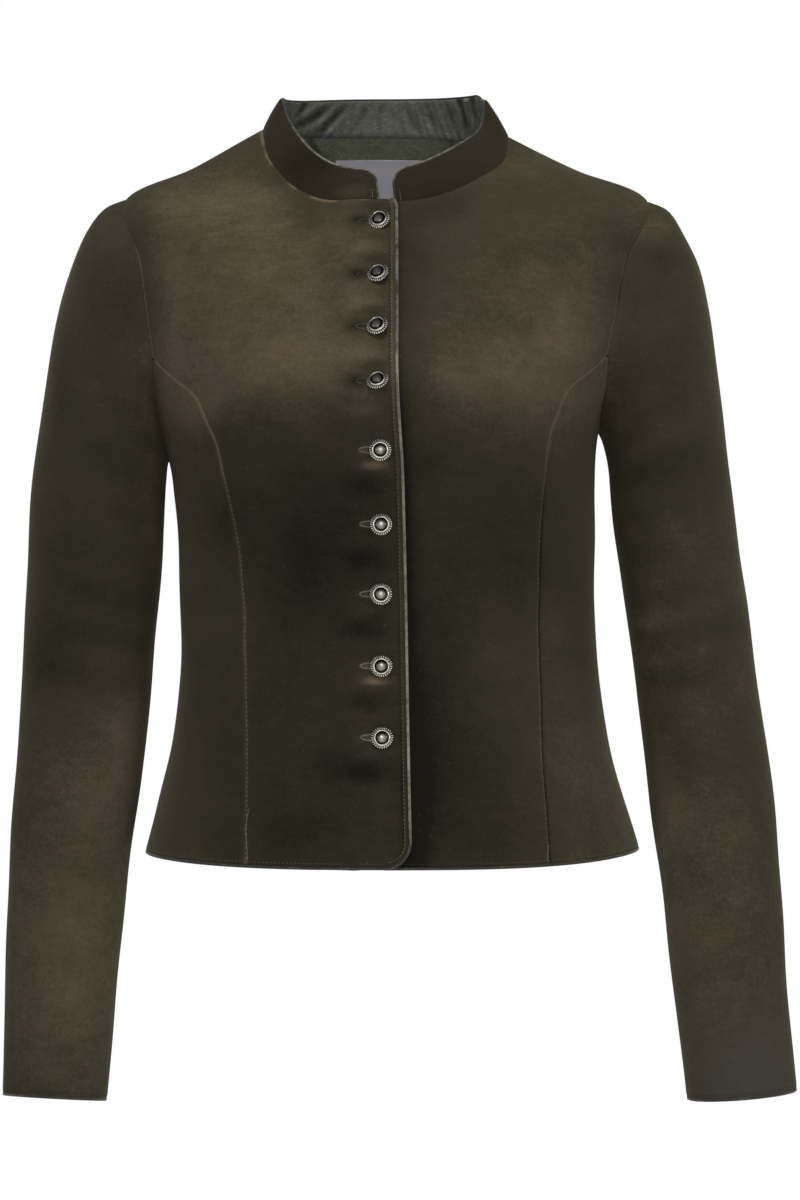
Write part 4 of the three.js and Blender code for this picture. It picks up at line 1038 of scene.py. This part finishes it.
def ring(rows, at, angle):
    """A sleeve's ring at fractional rows: an ellipse from inner to outer edge, sin(angle) out and
    cos(angle) to the front."""
    value = {column: read(rows, column, at) for column in rows}
    outward, forward = np.sin(angle), np.cos(angle)
    x = (value["outerX"] + value["innerX"]) / 2 + outward * (value["outerX"] - value["innerX"]) / 2
    z = (value["outerZ"] + value["innerZ"]) / 2 + outward * (value["outerZ"] - value["innerZ"]) / 2
    return np.stack([x, value["behind"] - value["depth"] * forward, z + value["frontUp"] * forward], -1)


SLEEVE_COLUMN_COUNT = 110
SLEEVE_HEAD = 0.5  # how thick the cloth is at the armhole seam
SLEEVE_ROWS_BETWEEN = [8, 6, 8, 9, 11, 13, 14, 16, 17, 19, 20, 22, 24, 27]


def sleeve(side_name, side):
    """A sleeve as a grid that goes round, rows from cuff to armhole. Its first rings keep part of the
    difference between the armhole and the ring's plain ellipse."""
    rows = SLEEVES[side_name]
    loop, angle = armhole_loop(side)
    closed = np.concatenate([loop, loop[:1]])
    walked = lengths(closed, 0)
    angles = np.append(angle, angle[0] + 2 * np.pi)
    at = np.linspace(0, walked[-1], SLEEVE_COLUMN_COUNT, endpoint=False)
    angle = np.interp(at, walked, angles)
    levels = np.append(even_levels(SLEEVE_ROWS_BETWEEN), [13.96, len(SLEEVE_ROWS_BETWEEN)])[:, None]
    plain = ring(rows, levels, angle[None])
    own = at_distances(closed, walked, at) * [side, 1, 1] - ring(rows, np.zeros(1), angle)
    keep = np.clip(read(CAP_BLEND, "keep", levels), 0, 1)
    points = (plain + own * keep[..., None]) * [side, 1, 1]
    return points[::-1] if side > 0 else points[::-1, ::-1]


for side_name, side in (("left", LEFT), ("right", RIGHT)):
    name = "sleeve_" + side_name
    grid = sleeve(side_name, side)
    normals = facing(grid, goes_round=True)
    from_armhole = distance_from(grid, "top")
    held = smooth(from_armhole, 4, 26)
    out = (uneven(grid) - creased(grid, normals, SLEEVE_CREASES, mirrored=side < 0)) * held
    # the sleeve head is eased into the armhole, which leaves small soft gathers near the top
    gathers = np.sin(lengths(grid, 1) / 3.4) * smooth(grid[..., 2], -110, -70)
    out = out + 0.25 * gathers * ridge(from_armhole, 6, 7)
    outer = turned_in(grid + normals * out[..., None], normals, depths=(0, 0, 0.4, 0.15))
    cloth[name] = outer, normals
    thick = SLEEVE_HEAD + (CLOTH - SLEEVE_HEAD) * smooth(from_armhole, 0, 10)
    # the left sleeve's pile is rubbed grey near its cuff
    greyed = 0.65 * bump(outer[..., 0], outer[..., 2], 262, -690, 55, 52) * (normals[..., 1] < 0.2)
    # the sleeve's nap, with the painted light and shade of the table's patches
    marks = {"nap_and_painted_shading": nap_and_shading_of(outer, normals), "greyed": greyed}
    inner = outer - normals * thick[..., None]
    piece = wall(name + "_velvet", outer, inner, [VELVET, SATIN], goes_round=True, marks=marks)
    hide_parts(name)

# ---------------------------------------------------------------- the collar


def neck_seam(turn):
    """The neck edge of the panels at turns counted on past 360, raised on the right front's overlap."""
    points = bodice(turn, NECK)
    normal = unit(np.cross(along_ring(turn, NECK), points - bodice(turn, NECK - LEVEL_STEP)))
    lift = OVERLAP_LIFT * smooth(points[:, 0], LIFT_FROM, LIFT_TO) * (turn > 360 - SIDE)
    return points + normal * lift[:, None]


def collar_grid(columns):
    """The collar's outer face and its normals: straight lines from the neck seam to the collar's own upper
    ring, a little rounded out, with a quarter circle taken off the upper corner of each end."""
    start, stop = turn_at(np.array([COLLAR_LEFT_END, COLLAR_RIGHT_END]), np.full(2, float(NECK))) + [0, 360]
    degree = np.linalg.norm(bodice(1, NECK) - bodice(0, NECK))
    near_ends = np.array([0, 0.15, 0.6, 1.4, 2.6, 4.2, 6.2, 8.6, 11.2]) / degree
    between = np.linspace(start + 14 / degree, stop - 14 / degree, columns)
    turn = np.concatenate([start + near_ends, between, stop - near_ends[::-1]])
    foot = neck_seam(turn)
    across, along = np.sin(np.radians(turn)), np.cos(np.radians(turn))
    depth = np.where(along >= 0, -COLLAR_TOP["front"], COLLAR_TOP["back"])
    # the left fold is rounded off
    z = ring_height(COLLAR_TOP.get, across, along) - 5.5 * smooth(across, 0.93, 1)
    head = np.stack([COLLAR_TOP["lean"] + COLLAR_TOP["half"] * across, depth * np.abs(along), z], -1)
    reach = lengths(foot, 0)
    full = np.linalg.norm(head - foot, axis=1)
    height = full - drawn_in(COLLAR_CORNER, np.minimum(reach, reach[-1] - reach))
    up = (head - foot) / full[:, None]
    share = np.concatenate([[0, 0.02, 0.05], np.linspace(0.1, 0.9, 9), [0.95, 0.98, 1]])[:, None]
    normals = facing(foot + up * (share * full)[..., None])
    points = foot + up * (SHOWN_GAP + share * (height - SHOWN_GAP))[..., None]
    return points + normals * (COLLAR_BOW * np.sin(np.pi * share))[..., None], normals


collar, collar_normals = collar_grid(columns=150)
# the collar is uneven in shorter and lower waves
flat = collar + collar_normals * (0.6 * uneven(collar * 1.6))[..., None]
collar_outer = turned_in(flat, collar_normals, depths=(0.4, 0.4, 0.3, 0.4))
cloth["collar"], uncut["collar"] = (collar_outer, collar_normals), (flat, collar_normals)
collar_inner = collar_outer - collar_normals * CLOTH
# the collar's nap, with the painted light and shade of the table's patches
marks = {"nap_and_painted_shading": nap_and_shading_of(collar_outer, collar_normals)}
piece = wall("collar_velvet", collar_outer, collar_inner, [COLLAR_VELVET, SATIN], marks=marks)
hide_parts("collar")

# Deep folds of the lining inside the back of the collar, near both of its ends.
LINING_FOLDS = table("face x0 z0 x1 z1 width depth", [
    [-1, -52, 28, -72, 12, 2.6, 1.9], [-1, -38, 27, -53, 9, 2.4, 1.7], [-1, -66, 30, -74, 20, 2.2, 1.2],
    [-1, 53, 36, 58, 10, 2.4, 1.9], [-1, 62, 37, 68, 18, 2.2, 1.7], [-1, 46, 30, 48, 12, 2.6, 0.7],
    [-1, -20, 28, -26, 12, 2.8, 0.6], [-1, 12, 30, 22, 12, 2.6, 0.7], [-1, 28, 26, 36, 12, 2.6, 0.7],
    [-1, -6, 31, -8, 12, 2.4, 0.5],
])


def puckers(points, share):
    """Upright puckers of the collar's lining, in mm out: sines 6 to 12 mm apart round the collar, fading to
    the upper edge."""
    walked = lengths(points, 1)[len(points) // 2]
    wave = np.sin(walked / 1.05 + 2.2 * np.sin(walked / 17)) + 0.7 * np.sin(walked / 1.9 + share * 2.5)
    return 0.28 * wave * (1 - 0.5 * share)


BELOW_SEAM = 2.5  # the collar's lining laps over the neck lining
lining, lining_normals = collar_grid(columns=520)
lining_shares = np.linspace(0, 1, lining.shape[0])[:, None]
inside = lining - lining_normals * (CLOTH + GAP)
inside[0] += unit(inside[0] - inside[3]) * BELOW_SEAM
folds = creased(lining, lining_normals, LINING_FOLDS)
calm = smooth(lining_shares, 1, 0.8) * smooth(lining_shares, -0.1, 0.12)
stands_off = np.clip(0.7 + puckers(lining, lining_shares) - folds, 0, 2.4) * (0.25 + 0.75 * calm)
inside_face = inside - lining_normals * (LINING * 0.7 + stands_off)[..., None]
# painted shade on the collar's lining: in its folds, along its seams and as a shadow towards the wearer's
# right
seam_line = 0.6 * ridge(lining_shares, 0, 0.03) + 0.35 * ridge(lining_shares, 0.84, 0.03)
shadow = 0.32 * smooth(-lining[..., 0], -45, 60)
marks = {"painted_crease_shade": np.clip(folds * 0.42 + seam_line + shadow, 0, 0.8)}
piece = wall("collar_satin", inside + lining_normals * 0.1, inside_face, [SATIN], marks=marks)
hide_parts("collar_lining")

# ---------------------------------------------------------------- inside the back of the neck

LINING_SHARES = (3 / 16, 13 / 16)  # of the way across the back
LINING_LEVELS = (11, 14)


def inside_back(share_range, level_range, columns, rows):
    """A grid of the back panel's surface between two shares of its width and two levels, and its normals."""
    level = np.linspace(*level_range, rows)
    start = princess_back(level, LEFT)
    stop = 360 + princess_back(level, RIGHT)
    share = np.linspace(*share_range, columns)
    points = bodice(start[:, None] + (stop - start)[:, None] * share, level[:, None])
    return points, facing(points)


back, back_normals = inside_back(LINING_SHARES, LINING_LEVELS, columns=180, rows=90)
x, z = back[..., 0], back[..., 2]
ripple = 0.35 * np.sin(x / 9 + z / 14) + 0.25 * np.sin(z / 5.5 - x / 20)
outer_face = back - back_normals * (CLOTH + GAP)
NECK_FOLDS = table("face x0 z0 x1 z1 width depth", [
    [-1, -62, 10, -50, -10, 3, 1.5], [-1, 46, 10, 48, -3, 2.4, 1.2],
])
folds = creased(back, back_normals, NECK_FOLDS)
inner_face = outer_face - back_normals * (LINING - 0.3 * ripple - np.clip(folds, 0, 0.4))[..., None]
# painted shade in the folds of the neck lining
marks = {"painted_crease_shade": np.clip(folds * 0.5, 0, 0.8)}
piece = wall("back_neck_satin", outer_face, inner_face, [LIGHTENED_NECK_SATIN], marks=marks)
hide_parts("back_neck_lining")

LABEL_WIDTH, LABEL_HEIGHT, LABEL_TOP, LABEL_THICKNESS = 76, 42, -7, 0.8
LABEL_ROWS, LABEL_COLUMNS = 26, 46
LABEL_SHARES, LABEL_LEVELS = (0.2, 0.8), (12, 14)  # the part of the back where it is looked for


def label_grid():
    """The label's place: a rectangle seen from the front, bent with the back, at the depth where it lies."""
    points, normals = inside_back(LABEL_SHARES, LABEL_LEVELS, columns=160, rows=120)
    middle = points.shape[1] // 2
    heights = points[:, middle, 2]
    wanted = np.linspace(LABEL_TOP - LABEL_HEIGHT, LABEL_TOP, LABEL_ROWS)
    rows = np.interp(wanted, heights, np.arange(len(heights)))
    low = np.floor(rows).astype(int).clip(0, len(heights) - 2)
    share = (rows - low)[:, None, None]
    points, normals = (grid[low] * (1 - share) + grid[low + 1] * share for grid in (points, normals))
    across = points[:, middle, :1] - points[..., 0]
    wanted = np.linspace(-0.5, 0.5, LABEL_COLUMNS) * LABEL_WIDTH
    return [
        np.stack([at_distances(line, off, wanted) for line, off in zip(grid, across)])
        for grid in (points, normals)
    ]


label, label_normals = label_grid()
depth = CLOTH + GAP + LINING + GAP
across, up = np.linspace(-1, 1, label.shape[1])[None], np.linspace(0, 1, label.shape[0])[:, None]
# held along its upper edge, the label stands off a little towards its lower corners
stands_off = 0.5 * (1 - up) ** 2 * (0.4 + across**2) + 0.12 * np.sin(4 * across + 3 * up)
fold = 0.35 * (ridge(np.abs(across), 1, 1 / 14) + ridge(up, 1, 1 / 12))  # the edges are turned in
label_back = label - label_normals * (depth + stands_off)[..., None]
label_face = label_back - label_normals * (LABEL_THICKNESS * 0.6 + fold)[..., None]
piece = wall("label_satin", label_back, label_face, [LABEL])
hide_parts("neck_label")

# ---------------------------------------------------------------- piping


def edge(name, which, faces=cloth):
    """One edge of a piece with its normals, in the order of its grid: the first or last column, or the
    lowest or top row."""
    pick = {"first": np.s_[:, 0], "last": np.s_[:, -1], "low": np.s_[0], "top": np.s_[-1]}[which]
    points, normals = faces[name]
    return points[pick], normals[pick]


def spaced(points, normals, step=2.0):
    """The same line with points a step apart."""
    walked = lengths(points, 0)
    at = np.linspace(0, walked[-1], max(2, int(walked[-1] / step)))
    return at_distances(points, walked, at), unit(at_distances(normals, walked, at))


def beside(points, normals, out, down):
    """A line moved off an edge, to the left as seen from outside when walked, and down into the cloth."""
    return points + unit(np.cross(normals, np.gradient(points, axis=0))) * out - normals * down


def joined(*lines):
    """Lines one after the other as a single line, without the points that fall together."""
    points, normals = (np.concatenate(part) for part in zip(*lines))
    keep = np.append(True, np.linalg.norm(np.diff(points, axis=0), axis=1) > 0.05)
    return points[keep], normals[keep]


def reversed_line(line):
    """The same line walked the other way."""
    return line[0][::-1], line[1][::-1]


def hem_line(faces):
    """The hem from the right front round the back to the left front."""
    right = "front_right", "side_front_right", "side_back_right"
    left = "side_back_left", "side_front_left", "front_left"
    return joined(*(reversed_line(edge(name, "low", faces)) for name in (*right, "back_centre", *left)))


def collar_line(faces):
    """The collar's edge up its left end, along the top and down its right end."""
    ends = edge("collar", "first", faces), reversed_line(edge("collar", "last", faces))
    return joined(ends[0], edge("collar", "top", faces), ends[1])


right_front, left_front = reversed_line(edge("front_right", "last")), edge("front_left", "first")
bodice_edge = spaced(*joined(right_front, hem_line(cloth), left_front))
PIPE_OUT, COLLAR_PIPE_OUT = PIPING_RADIUS - 0.4, PIPING_RADIUS - 0.6
path = beside(*bodice_edge, PIPE_OUT, CLOTH / 2)
# painted shade on the piping: darkest along the hem, and darker on the chest
on_hem = smooth(-path[:, 2], 500, 524)
on_chest = smooth(path[:, 2], -190, -140)
painted_shade = 0.85 * on_hem + 0.5 * on_chest
piece = tube("front_hem_piping", path, bodice_edge[1], PIPING_RADIUS, PIPING, painted_shade)
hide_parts("piping_front_hem")

collar_edge = spaced(*collar_line(cloth))
path = beside(*collar_edge, COLLAR_PIPE_OUT, (CLOTH + GAP + LINING) / 2)
behind = smooth(path[:, 1], -48, -6)
slimmer = PIPING_RADIUS * (1 - 0.45 * behind)
# the collar's piping has painted shade all along, deeper towards the back of the neck
piece = tube("collar_piping", path, collar_edge[1], slimmer, PIPING, 0.4 + 0.5 * behind)
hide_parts("piping_collar")

for side_name in ("left", "right"):
    cuff = spaced(*reversed_line(edge("sleeve_" + side_name, "low")))
    path = beside(*cuff, PIPE_OUT, CLOTH / 2)
    # painted shade along the cuffs' piping
    painted_shade = np.full(len(path), 0.8)
    piece = tube(side_name + "_cuff_piping", path, cuff[1], PIPING_RADIUS, PIPING, painted_shade)
    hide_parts("piping_cuff_" + side_name)

# ---------------------------------------------------------------- stitching


def inset(line, distance, down):
    """A line moved in from an edge by a distance, and down into the cloth."""
    points, normals = line
    return beside(points, normals, -distance, down), normals


def part_below(line, top):
    """The part of a line below a height, with points a millimetre apart."""
    points, normals = line
    below = points[:, 2] < top
    return spaced(points[below], normals[below], step=1.0)


TOPSTITCH_DOWN = 0.03  # how far the stitches lie in the pile
front_line = spaced(*reversed_line(edge("front_right", "last", uncut)), step=1.0)
line = inset(front_line, 3.0, TOPSTITCH_DOWN)
stitches("front_topstitch", *line, "velvet", TOPSTITCH, pitch=2.9, length=2.3, thick=0.22)
hem = spaced(*hem_line(uncut), step=1.0)
line = inset(hem, 2.4, TOPSTITCH_DOWN)
stitches("hem_topstitch", *line, "velvet", TOPSTITCH, pitch=3.0, length=2.0, thick=0.18)
collar_edge = spaced(*collar_line(uncut), step=1.0)
line = inset(collar_edge, 3.0, TOPSTITCH_DOWN)
stitches("collar_topstitch", *line, "velvet", TOPSTITCH, pitch=2.6, length=2.0, thick=0.2)

PRINCESS_STITCH_TOP, BACK_STITCH_TOP = -160, -132  # where the seams run into the armholes
for side_name, beside_seam, front_column, back_column, sewn, thick in (
    ("right", 0.6, "first", "last", SEAM_THREAD, 0.21),
    ("left", -0.6, "last", "first", TOPSTITCH, 0.16),
):
    seam = part_below(edge("front_" + side_name, front_column, uncut), PRINCESS_STITCH_TOP)
    line = inset(seam, beside_seam, 0.05)
    stitches("princess_seam_stitch_" + side_name, *line, "velvet", sewn, pitch=3.4, length=2.5, thick=thick)
    seam = part_below(edge("back_centre", back_column, uncut), BACK_STITCH_TOP)
    line = inset(seam, -beside_seam, 0.2)
    stitches("back_seam_stitch_" + side_name, *line, "velvet", SEAM_THREAD, pitch=3.6, length=3.0, thick=0.2)

# ---------------------------------------------------------------- buttons, buttonholes and thread ends

NEAREST = 12  # points of the cloth's grid that a place between them is read from


def front_place(x, z, front="front_right"):
    """The point of a front's outer face at x and z, its normal, and the level line's direction."""
    points, normals = (part.reshape(-1, 3) for part in cloth[front])
    away = (points[:, 0] - x) ** 2 + (points[:, 2] - z) ** 2
    near = np.argsort(away)[:NEAREST]
    weight = 1 / (away[near, None] + 0.5)
    y = (points[near, 1:2] * weight).sum() / weight.sum()
    normal = unit((normals[near] * weight).sum(0))
    level = np.array([1.0, 0, 0]) - normal * normal[0]
    return np.array([x, y, z]), normal, unit(level)


THREAD_POINTS, THREAD_RADIUS, THREAD_LIFT = 12, 0.16, 0.15


def thread_end(name, front, places):
    """A cut end of seam thread lying on the cloth, on a smooth line through places given as x and z."""
    at = np.linspace(0, len(places) - 1, THREAD_POINTS)
    given = table("x z", places)
    on_cloth = [front_place(x, z, front) for x, z in zip(read(given, "x", at), read(given, "z", at))]
    points, normals, _ = (np.array(part) for part in zip(*on_cloth))
    path = points + normals * THREAD_LIFT
    tube(name, path, normals, THREAD_RADIUS, SEAM_THREAD, np.zeros(THREAD_POINTS), sides=6)


thread_end("thread_end_right_upper", "front_right", [[-100.4, -491], [-102, -498], [-103.2, -506]])
thread_end("thread_end_right_lower", "front_right", [[-103.2, -506], [-102.2, -516], [-101.6, -528]])
thread_end("thread_end_left", "front_left", [[114, -517], [113.2, -522], [112.4, -529]])

RIBS, SIDES_PER_RIB = 28, 6
# The button's outline from the shank's end, as radius, height and brightness. Its ring and dome are arcs.
SHANK_AND_BACK = [[1.3, -2.4, 0.2], [1.3, 0.6, 0.2], [6.9, 0.6, 0.2], [7.5, 0.75, 0.3]]
SLOPE = [[7.75, 1.1, 0.7], [7.75, 1.7, 1], [7.2, 2.1, 1], [6.5, 2.42, 0.9], [5.95, 2.5, 0.1]]
GROOVE = [[4.8, 2.5, 0], [4.65, 2.5, 0]]
RIBBED = np.array([0.35, 1, 1, 0.8, 0.1])[:, None]  # how much the ribs raise each point of the slope
DOME_ARC, DOME_COSINE = 1.05, 0.4976  # half the dome's arc in radians, and its cosine
DOME_RINGS, HALF_ROUND_RINGS = 12, 9


def button(name, origin, normal, level):
    """A dome in a smooth ring with a ribbed collar sloping down around it. The dome is an arc of a sphere
    and the ring a half round. The ribs are r = |cos(14 angle)|^0.7 - 0.75, and the collar is a cone with
    0.5 r added to its height and 0.4 r to its radius."""
    arc = np.linspace(DOME_ARC, 0.012, DOME_RINGS)
    crown = np.clip((np.cos(arc) - DOME_COSINE) / (1 - DOME_COSINE), 0, 1)
    # the dome's brightness, bright at its crown and dark towards its foot, is partly rubbing and partly a
    # painted reflection
    dome = np.stack([4.6 * np.sin(arc) / np.sin(DOME_ARC), 2.8 + 1.9 * crown, 0.6 * crown**2.5], -1)
    arch = np.linspace(-0.5, np.pi, HALF_ROUND_RINGS)
    half_round = np.stack([5.3 + 0.52 * np.cos(arch), 2.9 + 0.6 * np.sin(arch), np.ones(len(arch))], -1)
    profile = np.concatenate([SHANK_AND_BACK, SLOPE, half_round, GROOVE, dome])
    angle = np.linspace(0, 2 * np.pi, RIBS * SIDES_PER_RIB, endpoint=False)
    radius, height, shine = (np.repeat(profile[:, k, None], len(angle), 1) for k in range(3))
    rib = np.abs(np.cos(RIBS / 2 * angle)) ** 0.7
    on_slope = np.s_[len(SHANK_AND_BACK) : len(SHANK_AND_BACK) + len(SLOPE)]
    radius[on_slope] += 0.4 * RIBBED * (rib - 0.75)
    height[on_slope] += 0.5 * RIBBED * (rib - 0.75)
    shine[on_slope] *= rib**4
    body = np.stack([radius * np.cos(angle), radius * np.sin(angle), height], -1).reshape(-1, 3)
    placed = origin + body @ np.stack([level, np.cross(normal, level), normal])
    return mesh_piece(name, placed, round_faces(*radius.shape), [SILVER], marks={"rubbed_and_painted_reflection": shine})


# From the button's centre to the buttonhole's far end and to its near end, half its stitched width, and
# from one stitch to the next.
HOLE_FAR, HOLE_NEAR, HOLE_HALF, HOLE_PITCH = 15.2, 3, 2.3, 0.62


def buttonhole(name, origin, normal, level, material, sunk):
    """A worked buttonhole: close stitches side by side round a drop shape, whose point lies towards the
    side and whose round end is under the button, with the slit between them. Half its width is a sine of
    the way along."""
    t = np.linspace(0, 1, 40)
    lie = -HOLE_FAR + (HOLE_FAR - HOLE_NEAR) * t**1.2
    rise = HOLE_HALF * np.sin(np.pi / 2 * t**0.6)
    lie, rise = np.concatenate([lie[:0:-1], lie]), np.concatenate([rise[:0:-1], -rise])
    path = origin + lie[:, None] * level + rise[:, None] * np.cross(normal, level) + normal * (0.1 - sunk)
    walked = lengths(path, 0)
    centres = np.arange(0.3, walked[-1], HOLE_PITCH)
    at = at_distances(path, walked, centres)
    way = unit(at_distances(path, walked, centres + 0.3) - at)
    axes = np.cross(way, normal), way, np.broadcast_to(normal, at.shape)
    t = np.array([-1, -0.5, 0.5, 1])
    girth = 0.26 * np.array([0.6, 1, 1, 0.6])
    return spindles(name, at, axes, 0.55 * t, girth, 0.15 - 0.2 * t**2, material)


# How far the buttons stand off the cloth, how deep the upper buttonholes' thread lies in it, and how many are
# upper ones.
BUTTON_OUT, SUNK, UPPER = 0.6, 0.65, 4
for i, (z, _, up, right) in enumerate(zip(*BUTTONS.values()), 1):
    x = read_at_height(FRONT_EDGE, "buttonX", z)
    origin, normal, level = front_place(x, z)
    # on the chest the pile stands over the thread, which is painted dark as painted shade
    sewn = (SHADED_HOLE_THREAD, SUNK) if i <= UPPER else (HOLE_THREAD, 0)
    buttonhole("worked_buttonhole_" + str(i), origin, normal, level, *sewn)
    up, right = np.radians([up, right])
    tipped = np.array([-np.sin(right), -np.cos(right) * np.cos(up), np.cos(right) * np.sin(up)])
    level = np.array([np.cos(right), -np.sin(right) * np.cos(up), np.sin(right) * np.sin(up)])
    piece = button("silver_button_" + str(i), origin + normal * BUTTON_OUT, tipped, level)
    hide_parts("button_" + str(i))
